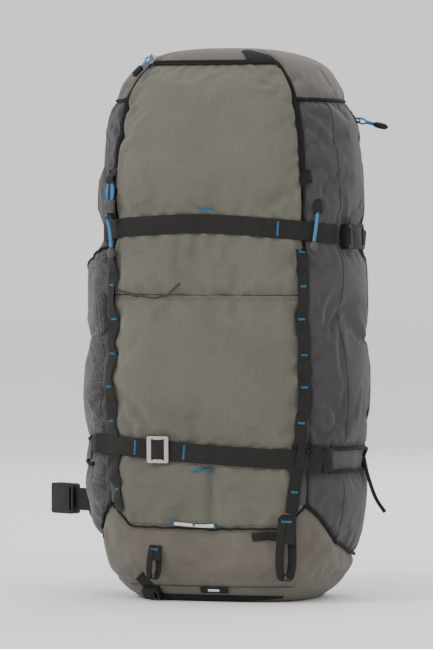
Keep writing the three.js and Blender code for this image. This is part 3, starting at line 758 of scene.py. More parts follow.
def on_skin(path, count, lift, shift=0.0):
    """Points, side directions and normals of a line on the skin through [station, height mm] points."""
    line = smooth_line([(s, z * MM) for s, z in path], count)
    row = row_at(line[:, 1])
    place = skin(line[:, 0], row)
    out = unit(smooth_rows(skin_normal(line[:, 0], row)))
    along = unit(np.gradient(place, axis=0))
    side = unit(np.cross(along, out))
    lift = np.broadcast_to(lift, count) + pocket_rise(line[:, 0], line[:, 1])
    return place + out * lift[:, None] + side * shift, side, out


def base_edge(s):
    return np.interp(np.abs(wrapped(s)), *BASE_EDGE) + 0.001


POCKET = {"near": -2.22, "far": -6.6, "loft": 0.0069}


def pocket_top(s):
    return np.interp(s, [POCKET["far"], POCKET["near"]], [0.300, 0.372])


def pocket_rise(s, z):
    """How far the mesh pocket on the left side stands off the side panel."""
    across = np.clip(np.minimum(POCKET["near"] - s, s - POCKET["far"]) * STATION / 0.02, 0, 1)
    up = np.clip((z - base_edge(s) - 0.006) / 0.02, 0, 1) * (z <= pocket_top(s) + 0.001)
    return POCKET["loft"] * np.sin(across * up * math.pi / 2)


def tighten(points, side, out, times):
    """Webbing pulled tight: it bridges the hollows of the cloth, and never sinks into it."""
    eased = points.copy()
    for _ in range(times):
        eased[1:-1] = (eased[:-2] + 2 * eased[1:-1] + eased[2:]) / 4
        sunk = np.sum((eased - points) * out, -1, keepdims=True)
        eased += out * np.clip(-sunk - 0.0006, 0, None)
        side, out = unit(smooth_rows(side)), unit(smooth_rows(out))
    return eased, side, out


def smooth_rows(values):
    padded = np.concatenate([values[:1], values, values[-1:]])
    return (padded[:-2] + 2 * padded[1:-1] + padded[2:]) / 4


def strap(name, node, body, path, width, lift=0.0012, thickness=0.0016, count=60, paint="webbing",
          taut=0):
    points, side, out = on_skin(path, count, lift)
    if taut:
        points, side, out = tighten(points, side, out, taut)
    piece = tape(name, body, points, side, width, thickness, paint)
    if node:
        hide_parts(node)
    return piece, points, side, out


def tack(name, body, place, along, out, length, width, paint="thread"):
    """A bar tack: a block of close zigzag thread, its ridges across the bar."""
    along, out = unit(np.asarray(along)), unit(np.asarray(out))
    side = np.cross(out, along)
    ridges = max(int(length / 0.0009), 4)
    t = np.linspace(-0.5, 0.5, ridges * 4 + 1)
    k = np.linspace(-0.5, 0.5, 5)
    height = 0.0005 + 0.00022 * np.sin(t * ridges * 2 * math.pi)
    edge = np.where(np.abs(k) > 0.49, 0.0, 1.0)
    grid = place + along * (t[:, None, None] * length) + side * (k[None, :, None] * width)
    outer = grid + out * (height[:, None] * edge)[..., None]
    inner = grid - out * 0.0004
    uv = np.stack(np.broadcast_arrays(k[None] * width, t[:, None] * length), -1)
    piece = slab(name, outer, inner, paint, uv)
    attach(piece, body)
    return piece


def tube(name, body, points, radius, paint, sides=12):
    """A round cord or wire along a line of points, its radius given once or at each point."""
    points = np.asarray(points, float)
    along = unit(np.gradient(points, axis=0))
    start = np.cross(along[0], (0.3, 0.8, 0.5))
    frames = []
    for a in along:
        start = unit(start - a * np.dot(start, a))
        frames.append((start, np.cross(a, start)))
    radius = np.broadcast_to(radius, len(points))
    turns = np.linspace(0, 2 * math.pi, sides, endpoint=False)
    rings = [p + r * (np.cos(turns)[:, None] * u + np.sin(turns)[:, None] * v)
             for p, r, (u, v) in zip(points, radius, frames)]
    faces = sheet_faces(len(points), sides, True)
    faces.append(tuple(range(sides))[::-1])
    faces.append(tuple((len(points) - 1) * sides + i for i in range(sides)))
    travelled = lengths(points, 0)
    uv = np.stack(np.broadcast_arrays(turns[None] * 0.002, travelled[:, None]), -1)
    piece = make_object(name, np.concatenate(rings), faces, paint, uv)
    outward_faces(piece)
    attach(piece, body)
    return piece


def refined(node, paint, bevel):
    """A moulded or cast piece: the CAD node's shape with its edges rounded."""
    source = bpy.data.objects[node]
    mesh = source.data.copy()
    mesh.materials.clear()
    mesh.materials.append(PAINTS[paint])
    piece = bpy.data.objects.new(f"{node}_detailed", mesh)
    bpy.context.collection.objects.link(piece)
    made = bmesh.new()
    made.from_mesh(mesh)
    bmesh.ops.remove_doubles(made, verts=made.verts, dist=1e-6)
    bmesh.ops.dissolve_limit(made, angle_limit=math.radians(2), verts=made.verts, edges=made.edges)
    made.to_mesh(mesh)
    made.free()
    rounding = piece.modifiers.new("edges", "BEVEL")
    rounding.width = bevel
    rounding.segments = 3
    rounding.limit_method = "ANGLE"
    rounding.angle_limit = math.radians(35)
    rounding.use_clamp_overlap = True
    bpy.context.view_layer.objects.active = piece
    with bpy.context.temp_override(object=piece):
        bpy.ops.object.modifier_apply(modifier=rounding.name)
    smooth(piece, 40)
    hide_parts(node)
    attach(piece, body_of(node))
    return piece


BODIES = frame["record"]["behaviour"]["bodies"]


def body_of(node):
    return next(body for body, nodes in BODIES.items() if node in nodes)


def centre(node):
    low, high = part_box(node)
    return (np.array(low) + np.array(high)) / 2


# ---------------------------------------------------------------- the free strap tail

TAIL = [(0.1465, 0.004, 0.150), (0.150, 0.006, 0.132), (0.158, 0.008, 0.108), (0.168, 0.010, 0.092)]


def make_tail():
    points = smooth_line(TAIL, 24)
    curve = bpy.data.curves.new("strap_tail_cord", "CURVE")
    curve.dimensions = "3D"
    curve.bevel_depth = 0.002
    curve.bevel_resolution = 3
    curve.use_fill_caps = True
    spline = curve.splines.new("POLY")
    spline.points.add(len(points) - 1)
    for point, place in zip(spline.points, points):
        point.co = (*place, 1)
    curve.materials.append(PAINTS["webbing"])
    tail = bpy.data.objects.new("strap_tail_cord", curve)
    bpy.context.collection.objects.link(tail)
    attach(tail, "bag")
    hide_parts("strap_tail")


make_tail()

# ---------------------------------------------------------------- the panels

def level(z):
    return lambda s: np.full(np.shape(s), z)


def make_panels():
    front = np.linspace(-1.985, 1.985, 96)
    side = np.linspace(2.015, 6.985, 110)
    panel("panel_lower", "front_panel_lower", "bag", "olive_low", front, base_edge,
          level(POCKET_SEAM - 0.0002), 74, roll=0.001,
          stitched=[("t", "olive_thread", 0.004), ("b", "dark_thread", 0.004)])
    flap = panel("panel_upper", "flap_panel", "flap", "olive", np.linspace(-1.96, 1.96, 96),
                 level(POCKET_SEAM + 0.0004), level(FLAP_TOP - 0.0016), 104, seams="lrtb", roll=0.001)
    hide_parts("front_panel_middle")
    flap.parent = None
    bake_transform(flap)
    for sign, name in ((-1, "left"), (1, "right")):
        columns = side if sign > 0 else -side[::-1]
        panel(f"side_{name}", f"side_panel_{name}", "bag", "side", columns, base_edge,
              level(CAP_EDGE - 0.0008), 130, stitched=[("t", "dark_thread", 0.0035)])
    back = np.linspace(7.015, 10.985, 80)
    panel("panel_back", "back_panel", "bag", "back_mesh", back, base_edge, level(CAP_EDGE - 0.0008), 100)
    make_side_pocket()
    make_corner_strips()
    make_cap()
    make_base()


def make_cap():
    """The cap closes the crown and comes down to the side panels behind the zip."""
    s = np.linspace(-9, 9, 216, endpoint=False)
    low = np.where(np.abs(s) < 2.0, FLAP_TOP, CAP_EDGE)
    v = np.linspace(0, 1, 44)[:, None]
    row = row_at(low) * (1 - v) + (CROWN - 0.02) * v
    grid_s = np.broadcast_to(s, row.shape)
    outer = skin(grid_s, row)
    out = skin_normal(grid_s, row)
    up = lengths(outer, 0)
    outer = outer - out * (0.0016 * bell(up, 0.003))[..., None]
    inner = outer - out * CLOTH
    uv = np.stack([np.broadcast_to(lengths(outer, 1)[:1], up.shape), up], -1)
    piece = slab("crown_cap", outer, inner, "cap", uv, ring=True, inside="lining")
    close_rings(piece, len(v), len(s))
    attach(piece, "bag")
    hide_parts("top_cap")


def make_corner_strips():
    """Side cloth brought round to the daisy chains, over the edge of the front."""
    v = np.linspace(0, 1, 70)[:, None]
    z = 0.104 + v * 0.24
    near = np.interp(z, [0.098, 0.220, 0.366], [1.62, 1.86, 1.93])
    for sign, name in ((-1, "left"), (1, "right")):
        s = sign * (near + (2.0 - near) * np.linspace(0, 1, 9))
        s = s if sign > 0 else s[:, ::-1]
        row = np.broadcast_to(row_at(z), s.shape)
        out = skin_normal(s, row)
        outer = skin(s, row, 0.0007)
        uv = np.stack([lengths(outer, 1), lengths(outer, 0)], -1)
        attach(slab(f"corner_strip_{name}", outer, outer - out * 0.0009, "side", uv), "bag")


def make_side_pocket():
    """A stretch mesh pocket on the left side, its hem bound and a little loose."""
    s = np.linspace(POCKET["far"], POCKET["near"], 70)
    panel("side_pocket", None, "bag", "pocket_mesh", s, lambda at: base_edge(at) + 0.006, pocket_top, 70,
          seams="lrb", inside="pocket_mesh", pocket=True)
    points = on_skin([(a, pocket_top(a) * 1000) for a in s[::3]], 60, 0.0008)[0]
    tube("side_pocket_hem", "bag", points, 0.0018, "binding", 8)


def close_rings(piece, rows, columns):
    """Takes off the rim between a shell's two last rings and closes each with a disc."""
    made = bmesh.new()
    made.from_mesh(piece.data)
    made.verts.ensure_lookup_table()
    first = (rows - 1) * columns
    outer = [made.verts[first + i] for i in range(columns)]
    inner = [made.verts[first + i + rows * columns] for i in range(columns)]
    both = set(outer) | set(inner)
    rim = [f for f in made.faces if all(v in both for v in f.verts)]
    bmesh.ops.delete(made, geom=rim, context="FACES_ONLY")
    for ring in (outer, inner):
        middle = made.verts.new(sum((v.co for v in ring), Vector()) / columns)
        for i in range(columns):
            made.faces.new((ring[i], ring[(i + 1) % columns], middle))
    bmesh.ops.recalc_face_normals(made, faces=made.faces)
    made.to_mesh(piece.data)
    made.free()
    smooth(piece)


def make_base():
    """The reinforced tray: a flat floor and a wall that rises at the front corners."""
    s = np.linspace(-9, 9, 216, endpoint=False)
    levels = np.concatenate([np.linspace(0.03, 0.96, 12), np.linspace(1.0, 3.0, 34)])[:, None]
    v = np.linspace(0.06, 1, 16)[:, None]
    top = row_at(base_edge(s) - 0.0012)
    row = np.concatenate([np.broadcast_to(levels, (46, len(s))), 3.0 * (1 - v) + top * v])
    grid_s = np.broadcast_to(s, row.shape)
    outer = skin(grid_s, row)
    outer[:12, :, 2] = 0
    out = skin_normal(grid_s, row)
    out[:11] = (0, 0, -1)
    up = lengths(outer, 0)
    far = up[-1:] - up
    outer = outer - out * (0.0016 * bell(far, 0.003))[..., None]
    inner = outer - out * CLOTH
    uv = np.stack([lengths(outer, 1), up], -1)
    piece = slab("base_tray", outer[::-1], inner[::-1], "boot", uv[::-1], ring=True, inside="lining")
    close_rings(piece, len(row), len(s))
    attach(piece, "bag")
    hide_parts("base_panel")
    seam_s = np.linspace(-2.0, 2.0, 120)
    line = row_at(np.full(seam_s.shape, 0.017))
    tube("base_seam", "bag", skin(seam_s, line, 0.0002), 0.0007, "dark_thread", 8)


def piping(name, path, radius=0.0019, paint="binding", lift=0.0006):
    return tube(name, "bag", on_skin(path, 160, lift)[0], radius, paint, 10)


def upright(station, low, high):
    """The path of a seam that runs straight up at one station."""
    return [(station, z) for z in np.linspace(low, high, 30)]


def make_piping():
    """Bound seams: the corner seams, the foot of the side panels, and the cap's edge."""
    for sign, name in ((-1, "left"), (1, "right")):
        foot = [(sign * s, base_edge(s) * 1000) for s in np.linspace(2.0, 7.0, 40)]
        piping(f"piping_foot_{name}", foot)
        piping(f"piping_back_{name}", upright(sign * 7, 45, 526), radius=0.0022)
        piping(f"piping_front_{name}", upright(sign * 2.0, 102, 446), radius=0.0012, lift=-0.0006)
        cap = [(sign * s, 527) for s in np.linspace(2.05, 7.0, 40)]
        piping(f"piping_cap_{name}", cap, radius=0.0008, lift=-0.0002)
    inside = [(s, 527) for s in np.linspace(2.05, 15.95, 120)]
    piping("cap_seam_inside", inside, radius=0.0026, lift=-0.0025)
    piping("piping_cap_back", [(s, 527) for s in np.linspace(7, 11, 40)], radius=0.0011)
    piping("piping_front_foot", [(s, base_edge(s) * 1000) for s in np.linspace(-2, 2, 50)], radius=0.0009)
    seams = (("upper_left", -3.35, 378), ("side_left", -5.1, 378), ("upper_right", 3.35, 62))
    for name, station, foot in seams:
        piping(f"seam_{name}", upright(station, foot, 524), radius=0.0006, paint="dark_thread", lift=0.0001)
    patch = panel("corner_patch", None, "bag", "binding", np.linspace(0.9, 1.9, 24), level(FLAP_TOP + 0.0022),
                  lambda s: np.interp(s, [0.9, 1.3, 1.9], [0.5775, 0.579, 0.572]), 14, seams="",
                  inside="binding")
    lift_mesh(patch, 0.0012)


def lift_mesh(piece, amount):
    """Moves every point of a piece out from the middle of the pack and up."""
    for vertex in piece.data.vertices:
        vertex.co += Vector((vertex.co.x, vertex.co.y, 0.06)).normalized() * amount


# ---------------------------------------------------------------- zips

ZIP_PATH = [(-2.06, 447), (-2.06, 480), (-2.06, 500), (-2.05, 520), (-2.04, 540), (-2.03, 555), (-1.9, 565.5),
            (-1.5, 567), (-1, 567), (-0.5, 567), (0, 567), (0.5, 567), (1, 567), (1.5, 567), (1.9, 565.5),
            (2.03, 555), (2.04, 540), (2.05, 520), (2.06, 500), (2.06, 480), (2.06, 447)]


COIL_PITCH = 0.0021


def make_zip(name, node, path, count, width, shift, lift=0.0012):
    """A coil zip: two tapes, a row of coil turns along the middle, and the fabric's turned edge."""
    points, side, out = on_skin(path, count, lift, shift)
    points, side, out = tighten(points, side, out, 12)
    lengths_along = lengths(points, 0)
    belt = tape(f"{name}_tape", "bag", points, side, width, 0.0012, "binding")
    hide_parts(node)
    turns = int(lengths_along[-1] / COIL_PITCH)
    at = np.linspace(0.002, lengths_along[-1] - 0.002, turns * 4)
    centre_line = np.stack([np.interp(at, lengths_along, points[:, i]) for i in range(3)], -1)
    across = np.stack([np.interp(at, lengths_along, side[:, i]) for i in range(3)], -1)
    up = np.stack([np.interp(at, lengths_along, out[:, i]) for i in range(3)], -1)
    turn = np.arange(len(at)) * math.pi / 2
    coil = centre_line + across * (0.0016 * np.cos(turn))[:, None]
    coil += up * (0.0009 + 0.0006 * np.sin(turn))[:, None]
    tube(f"{name}_coil", "bag", coil, 0.0004, "plastic", 5)


def make_zips():
    make_zip("front_zip", "zip_chain", ZIP_PATH, 260, 0.0064, 0.0024)
    side_path = [(5.1, z) for z in np.linspace(516, 130, 24)]
    make_zip("side_zip", "side_zip_chain", side_path, 150, 0.011, 0, lift=0.0002)
    for sign, name in ((-1, "left"), (1, "right")):
        garage = [(sign * 2.06, 452), (sign * 2.07, 444), (sign * 2.08, 438)]
        strap(f"zip_end_{name}", None, "bag", garage, 0.013, 0.0022, 0.0014, 12, "binding")
    refined("zip_slider_left", "steel", 0.0008)
    refined("zip_slider_right", "plastic", 0.0008)
    for name in ("left", "right"):
        make_pull(name)


def make_pull(name):
    """A knotted blue cord through the slider's ring, with a moulded grip at its end."""
    node = f"zip_pull_{name}"
    source = np.array([v.co for v in bpy.data.objects[node].data.vertices])
    low, high = source.min(0), source.max(0)
    axis = np.linalg.svd(source - source.mean(0), full_matrices=False)[2][0]
    slider = centre(f"zip_slider_{name}")
    if np.dot(source.mean(0) - slider, axis) < 0:
        axis = -axis
    reach = (source - slider) @ axis
    start = slider + axis * reach.min()
    line_centre = source.mean(0)
    base = line_centre + axis * ((start - line_centre) @ axis)
    length = reach.max() - reach.min()
    other = unit(np.cross(axis, (0.2, 1, 0.1)))
    t = np.linspace(0, 1, 40)
    path = []
    for f, sign in ((t, 1), (t[::-1], -1)):
        spread = 0.0018 * np.sin(np.clip(f / 0.5, 0, 1) * math.pi) + 0.0009
        path.append(base + axis * (f * length * 0.6)[:, None] + other * (sign * spread)[:, None])
    loop = np.concatenate(path)
    cord_piece = tube(f"pull_cord_{name}", f"zip_pull_{name}", loop, 0.0011, "cord", 10)
    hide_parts(node)
    grip = base + axis * np.linspace(length * 0.52, length, 30)[:, None]
    shape = np.linspace(0, 1, 30)
    radius = 0.0032 * np.clip(np.sin(np.clip(shape * 1.02, 0, 1) * math.pi), 0, 1) ** 0.35 + 0.0002
    tube(f"pull_grip_{name}", f"zip_pull_{name}", grip, radius, "plastic", 16)
    for k in (0.6, 0.7, 0.8, 0.9):
        ring_centre = base + axis * length * k
        turns = np.linspace(0, 2 * math.pi, 25)
        third = np.cross(axis, other)
        ring = ring_centre + (np.cos(turns)[:, None] * other + np.sin(turns)[:, None] * third) * 0.0031
        tube(f"pull_rib_{name}_{int(k * 10)}", f"zip_pull_{name}", ring, 0.0004, "plastic", 6)


# ---------------------------------------------------------------- webbing on the front

def daisy(sign, name):
    """A daisy chain: webbing tacked every 35 mm or so, bowed out a little between the tacks."""
    top, foot = 368, 96
    tacks = [366, 331, 296, 261, 226, 190, 158, 118]
    z = np.linspace(top, foot, 150)
    s = sign * np.interp(z, [98, 220, 366], [1.62, 1.86, 1.9])
    nearest = np.min([np.abs(z - t) for t in tacks], axis=0)
    lift = 0.0012 + 0.0016 * np.clip(nearest / 9, 0, 1)
    row = row_at(z * MM)
    place = skin(s, row)
    out = unit(skin_normal(s, row))
    along = unit(np.gradient(place, axis=0))
    side = unit(np.cross(along, out))
    points, side, out = tighten(place + out * lift[:, None], side, out, 8)
    piece = tape(f"daisy_{name}", "bag", points, side, 0.0135, 0.0017, "webbing")
    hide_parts(f"daisy_chain_{name}")
    for k, height in enumerate(tacks):
        i = int(np.argmin(np.abs(z - height)))
        tack(f"daisy_tack_{name}_{k}", "bag", points[i] + out[i] * 0.001, side[i], out[i], 0.0075, 0.0022)


def make_webbing():
    for sign, name in ((-1, "left"), (1, "right")):
        daisy(sign, name)
    upper = [(-2.6, 387), (-2.0, 391), (-1.2, 394), (0, 397), (1.2, 392), (2.4, 388), (3.3, 385)]
    piece, points, side, out = strap("compression_upper", "upper_strap", "bag", upper, 0.020, 0.003,
                                     count=120, taut=60)
    piece.parent = None
    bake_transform(piece)
    i = int(0.685 * len(points))
    tack("upper_tack", "bag", points[i] + out[i] * 0.001, side[i], out[i], 0.015, 0.002)
    strap("compression_upper_anchor", "upper_strap_anchor", "bag", [(4.3, 382), (4.9, 381), (5.6, 379)],
          0.020, 0.0038, count=24)
    lower = [(-2.74, 164), (-1.9, 164.5), (-1.0, 161.5), (0, 156), (1.3, 152), (2.25, 151)]
    _, points, side, out = strap("compression_lower", "lower_strap", "bag", lower, 0.020, 0.0042,
                                 count=110, taut=60)
    for k, station in enumerate((-1.16, -0.32)):
        there = skin(station, row_at(strap_line(station, LOWER_LINE)))
        i = int(np.argmin(np.linalg.norm(points - there, axis=-1)))
        tack(f"lower_tack_{k}", "bag", points[i] + out[i] * 0.001, side[i], out[i], 0.015, 0.0022)
    refined("strap_slide", "alloy", 0.0007)
    place, along, inward, up = seat(-0.74, 160.5, 6.2)
    over = place([(x, -1.9 + 0.028 * x * x, 0) for x in np.linspace(-7, 7, 24)])
    tape("strap_slide_web", "strap_slide", over, np.tile(up, (24, 1)), 0.0205, 0.0014)
    for sign, name in ((-1, "left"), (1, "right")):
        rise = 9 if sign < 0 else 0
        tab = [(sign * 2.72, 150 + rise), (sign * 3.4, 149.5 + rise * 0.7), (sign * 4.0, 149 + rise * 0.4),
               (sign * 4.7, 148 + rise * 0.1)]
        strap(f"side_tab_cloth_{name}", f"side_tab_{name}", "bag", tab, 0.026, 0.0034, 0.0022, 40, "side",
              taut=25)
        for k, dz in enumerate((-12.5, 12.5)):
            edge = [(s, z + dz) for s, z in tab]
            points, side, out = on_skin(edge, 40, 0.0036)
            points = tighten(points, side, out, 25)[0]
            tube(f"side_tab_binding_{name}_{k}", "bag", points, 0.0019, "binding", 8)
        ends = [(tab[-1][0], tab[-1][1] + dz) for dz in (-12.5, 0, 12.5)]
        tube(f"side_tab_end_{name}", "bag", on_skin(ends, 16, 0.0036)[0], 0.0019, "binding", 8)
    strap("side_tab_keeper", None, "bag", [(1.66, 155), (2.2, 152), (2.74, 150)], 0.026, 0.0066, 0.002, 24)
    strap("keeper_tack_band", None, "bag", [(2.5, 163), (2.5, 150), (2.5, 137)], 0.005, 0.0072, 0.0014, 12)
    tack_on("blue_tack_upper", (0.02, 413), 0.018, 0.0026)
    tack_on("blue_tack_lower", (-0.03, 139), 0.018, 0.0026)


def tack_on(name, place, length, width, paint="thread", lift=0.0006):
    s, z = place[0], place[1] * MM
    row = row_at(z)
    point = skin(s, row, lift)
    out = skin_normal(np.array([s]), np.array([row]))[0]
    along = unit(skin(s + 0.02, row) - skin(s - 0.02, row))
    return tack(name, "bag", point, along, out, length, width, paint)


# ---------------------------------------------------------------- loops and cords

def make_tool_loop(name, station, top, length, width):
    """Webbing doubled into a loop, its two legs side by side and its foot turned over."""
    place = surface(station, row_at(top * MM)) + normal(np.array(station), row_at(top * MM)) * 0.0034
    reach, spread = 13.0, width * 0.29
    path = [(-spread * 0.8, -1.2, 0), (-spread * 0.9, -reach * 0.6, -length * 0.3),
            (-spread, -reach * 0.85, -length * 0.75), (-spread * 0.5, -reach * 0.8, -length * 0.97),
            (spread * 0.5, -reach * 0.55, -length * 0.97), (spread, -reach * 0.3, -length * 0.75),
            (spread * 0.9, -2.2, -length * 0.4), (spread * 0.8, -1.6, 0)]
    count = 120
    points = smooth_line(path, count) * MM + place
    t = np.linspace(0, 1, count)
    over = bell(t - 0.5, 0.1)[:, None]
    side = (1 - over) * np.array((1.0, 0, 0)) + over * np.array((0, 1.0, -0.2))
    body = f"tool_loop_{name}"
    piece = tape(f"{body}_web", body, points, side, width * 0.46 * MM, 0.0017)
    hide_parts(body)
    low, high = place + np.array((0, -0.0035, -0.030 * length / 68)), place + np.array((0, -0.0014, -0.0015))
    sewn = np.linspace(high, low, 16) + np.array((0, -0.0032, 0)) * np.linspace(0, 1.6, 16)[:, None]
    tape(f"{body}_sewn", body, sewn, np.tile((1.0, 0, 0), (16, 1)), width * MM, 0.0022)
    bar = sewn[3] + np.array((0, -0.0021, 0))
    tack(f"{body}_tack", body, bar, side[0], (0, -1, 0), width * MM * 0.55, 0.0024)


def make_loops():
    make_tool_loop("right", 1.56, 94, 68, 20)
    make_tool_loop("left", -0.88, 60, 34, 14)
    strap("light_loop_web", "light_loop", "bag", [(-0.52, 82.5), (-0.16, 83.2), (0.2, 82.5)], 0.0036, 0.0022,
          count=30, paint="reflective", taut=30)
    for k, s in enumerate((-0.52, -0.16, 0.2)):
        tack_on(f"light_loop_tack_{k}", (s, 82.7), 0.0026, 0.0055, lift=0.0026)
    strap("half_moon", "half_moon_tab", "bag", [(0.84, 70), (1.1, 72), (1.36, 71)], 0.009, 0.0016, count=24)
    strap("base_loop_web", "base_loop", "bag", [(-0.15, 14), (0.13, 14), (0.42, 14)], 0.008, 0.002, count=24)
    tack_on("base_loop_tack", (0.13, 14), 0.012, 0.003, "reflective", 0.003)
    refined("tail_buckle", "plastic", 0.001)
    strap("tail_web", None, "bag", [(-1.48, 27), (-1.4, 20), (-1.32, 14)], 0.014, 0.0014, 0.0014, 16)
    # A black band along the foot of the front, widest in the middle and tapering to the corners: it stands
    # partly for a black strap and partly for painted shade of the curved underside.
    band = [(s, 4.6 + 0.5 * abs(s) ** 2) for s in np.linspace(-1.9, 1.9, 15)]
    taper = 0.0085 - 0.006 * np.abs(np.linspace(-1, 1, 70)) ** 3
    strap("base_underside_shade_band", None, "bag", band, taper, 0.0011, 0.0016, 70, "binding")
    # A dark thread tube along the curve under the flap's lower edge on the left: painted shadow of the flap's
    # overhang.
    flap_shadow_path = [(-1.85, 330), (-1.6, 326), (-1.27, 321.5), (-0.73, 320), (-0.5, 329), (-0.4, 335)]
    tube("pocket_flap_shadow_line", "bag", on_skin(flap_shadow_path, 50, 0.0004)[0], 0.0009, "dark_thread", 8)


def make_haul_loop():
    path = [(-46, 92, 524), (-30, 101, 517), (0, 106, 511), (30, 101, 517), (46, 92, 524)]
    points = smooth_line(path, 60) * MM
    side = np.tile((0, 0.2, 1.0), (60, 1))
    piece = tape("haul_loop_web", "haul_loop", points, side, 0.018, 0.0018)
    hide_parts("haul_loop")
    tube("haul_loop_grip", "haul_loop", points[16:44], 0.0042, "binding", 14)
    for k, i in enumerate((3, 56)):
        place = points[i] + np.array((0, 0.0011, 0))
        tack(f"haul_tack_{k}", "haul_loop", place, side[0], (0, 1, 0), 0.015, 0.0026, "dark_thread")


def seat(station, z, lift):
    row = row_at(z * MM)
    out = normal(np.array(station, float), np.array(row, float))
    along = unit(surface(station + 0.05, row) - surface(station - 0.05, row))
    up = unit(np.cross(along, -out))
    origin = surface(station, row) + out * lift * MM

    def place(points):
        points = np.asarray(points, float) * MM
        return origin + points[..., :1] * along - points[..., 1:2] * out + points[..., 2:3] * up
    return place, along, -out, up


def ball(name, body, place, radius, paint, node):
    rows, columns = 14, 24
    theta = np.linspace(0.02, math.pi - 0.02, rows)[:, None]
    turn = np.linspace(0, 2 * math.pi, columns, endpoint=False)
    grid = np.stack(np.broadcast_arrays(np.sin(theta) * np.cos(turn), np.sin(theta) * np.sin(turn),
                                        np.cos(theta) * 1.15), -1) * radius + np.asarray(place)
    faces = sheet_faces(rows, columns, True)
    faces.append(tuple(range(columns)))
    faces.append(tuple((rows - 1) * columns + i for i in range(columns))[::-1])
    piece = make_object(name, grid.reshape(-1, 3), faces, paint)
    outward_faces(piece)
    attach(piece, body)
    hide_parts(node)
    return piece


def make_holders():
    place, along, inward, up = seat(-1.98, 441, 8)
    line = [(6, 0, -70), (2.6, -0.5, -52), (-2.6, -0.3, -37), (-3.6, 0, -24), (-3.6, 0, -6), (0, 0, 0),
            (3.6, 0, -6), (3.6, 0, -21)]
    points = place(smooth_line(line, 140))
    inside = int(np.argmin(np.linalg.norm(points - place([(-3.6, 0, -25)]), axis=-1)))
    strands = (("left", points[:inside + 1], -68, -44), ("loop", points[inside:], -4, -20))
    for part, strand, still, moving in strands:
        piece = tube(f"shaft_cord_blue_{part}", "bag", strand, 0.00175, "cord", 12)
        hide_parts("shaft_cord_left")
        piece.parent = None
        start, end = place([(0, 0, still)])[0], place([(0, 0, moving)])[0]
        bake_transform(piece)
    ball("shaft_knob_left", "bag", place([(6.6, 0, -75.6)])[0], 0.005, "grey_plastic", "shaft_end_left")
    refined("cord_lock_body", "grey_plastic", 0.0008)
    refined("cord_lock_button", "plastic", 0.0005)
    anchor = [(0, 7, 14), (0, 3, 8), (0, -1.6, 3), (0, -1.4, -2), (0, 2, -4), (0, 7, 2)]
    anchor = place(smooth_line(anchor, 40))
    tape("shaft_anchor_left", "bag", anchor, np.tile(along, (40, 1)), 0.010, 0.0014)
    place, along, inward, up = seat(2.3, 412, 4)
    points = place(smooth_line([(4, 1, 0), (1, -0.5, -16), (-2, 0, -34)], 50))
    piece = tube("shaft_cord_blue_right", "bag", points, 0.00175, "cord", 12)
    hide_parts("shaft_cord_right")
    ball("shaft_knob_right", "bag", place([(-2.6, 0, -39.6)])[0], 0.005, "grey_plastic", "shaft_end_right")
    anchor = place(smooth_line([(4.6, 2.6, 10), (4.4, 0.4, 4), (4, -1.4, -2), (4, 1.4, -5)], 30))
    tape("shaft_anchor_right", "bag", anchor, np.tile(along, (30, 1)), 0.010, 0.0014)


def make_cords():
    make_loops()
    make_haul_loop()
    make_holders()


make_panels()
make_piping()
make_zips()
make_webbing()
make_cords()

# ---------------------------------------------------------------- padded pieces


def loft(name, points, side, width, thickness, paint, ends, sections):
    """A stuffed strip: rounded sections across a line of points, closing at both ends."""
    points = np.asarray(points, float)
    along = unit(np.gradient(points, axis=0))
    side = unit(side - along * np.sum(side * along, -1, keepdims=True))
    up = np.cross(side, along)
    travelled = lengths(points, 0)
    near = np.minimum(travelled, travelled[-1] - travelled) / ends
    taper = np.sqrt(np.clip(1 - (1 - np.clip(near, 0, 1)) ** 2, 0.004, 1))
    turn = np.linspace(0, 2 * math.pi, sections, endpoint=False)
    across = np.sign(np.cos(turn)) * np.abs(np.cos(turn)) ** 0.5
    height = np.sign(np.sin(turn)) * np.abs(np.sin(turn)) ** 0.8
    half_width = (width / 2 - ends * (1 - taper))[:, None]
    half_depth = (thickness / 2 * np.sqrt(taper))[:, None]
    grid = (points[:, None] + side[:, None] * (across * half_width)[..., None]
            + up[:, None] * (height * half_depth)[..., None])
    faces = sheet_faces(len(points), sections, True)
    faces.append(tuple(range(sections))[::-1])
    faces.append(tuple((len(points) - 1) * sections + i for i in range(sections)))
    piece = make_object(name, grid.reshape(-1, 3), faces, paint, sharp=80)
    outward_faces(piece)
    outline = np.concatenate([points + side * half_width, (points - side * half_width)[::-1]])
    return piece, outline


def apply_modifier(piece, kind, **settings):
    modifier = piece.modifiers.new(kind.lower(), kind)
    for key, value in settings.items():
        setattr(modifier, key, value)
    with bpy.context.temp_override(object=piece):
        bpy.ops.object.modifier_apply(modifier=modifier.name)


def puff(piece, outline):
    """Blows a pad up as cloth held along its bound edge, then takes the shape as its mesh."""
    apply_modifier(piece, "REMESH", mode="VOXEL", voxel_size=0.0048)
    start = np.array([v.co for v in piece.data.vertices])
    distance = np.min(np.linalg.norm(start[:, None] - outline[None, ::2], axis=-1), axis=1)
    group = piece.vertex_groups.new(name="held")
    for i, d in enumerate(distance):
        group.add([i], float(np.clip(1.6 - d / 0.009, 0, 1)), "REPLACE")
    cloth = piece.modifiers.new("cloth", "CLOTH")
    set_cloth(cloth, 4.0, PUFF_FRAMES)
    cloth.settings.shrink_min = -0.06
    cloth.settings.vertex_group_mass = "held"
    result = run_cloth(piece, PUFF_FRAMES)
    piece.modifiers.remove(cloth)
    moved = result - start
    result = start + moved * capped(moved, PUFF_LIMIT)
    piece.data.vertices.foreach_set("co", result.reshape(-1))
    piece.vertex_groups.clear()
    apply_modifier(piece, "SUBSURF", levels=1)
    smooth(piece, 80)


def two_faced(piece, paint, direction):
    """Gives the faces that look along a direction a second material."""
    piece.data.materials.append(PAINTS[paint])
    direction = Vector(direction)
    for polygon in piece.data.polygons:
        polygon.material_index = int(polygon.normal.dot(direction) > 0.35)


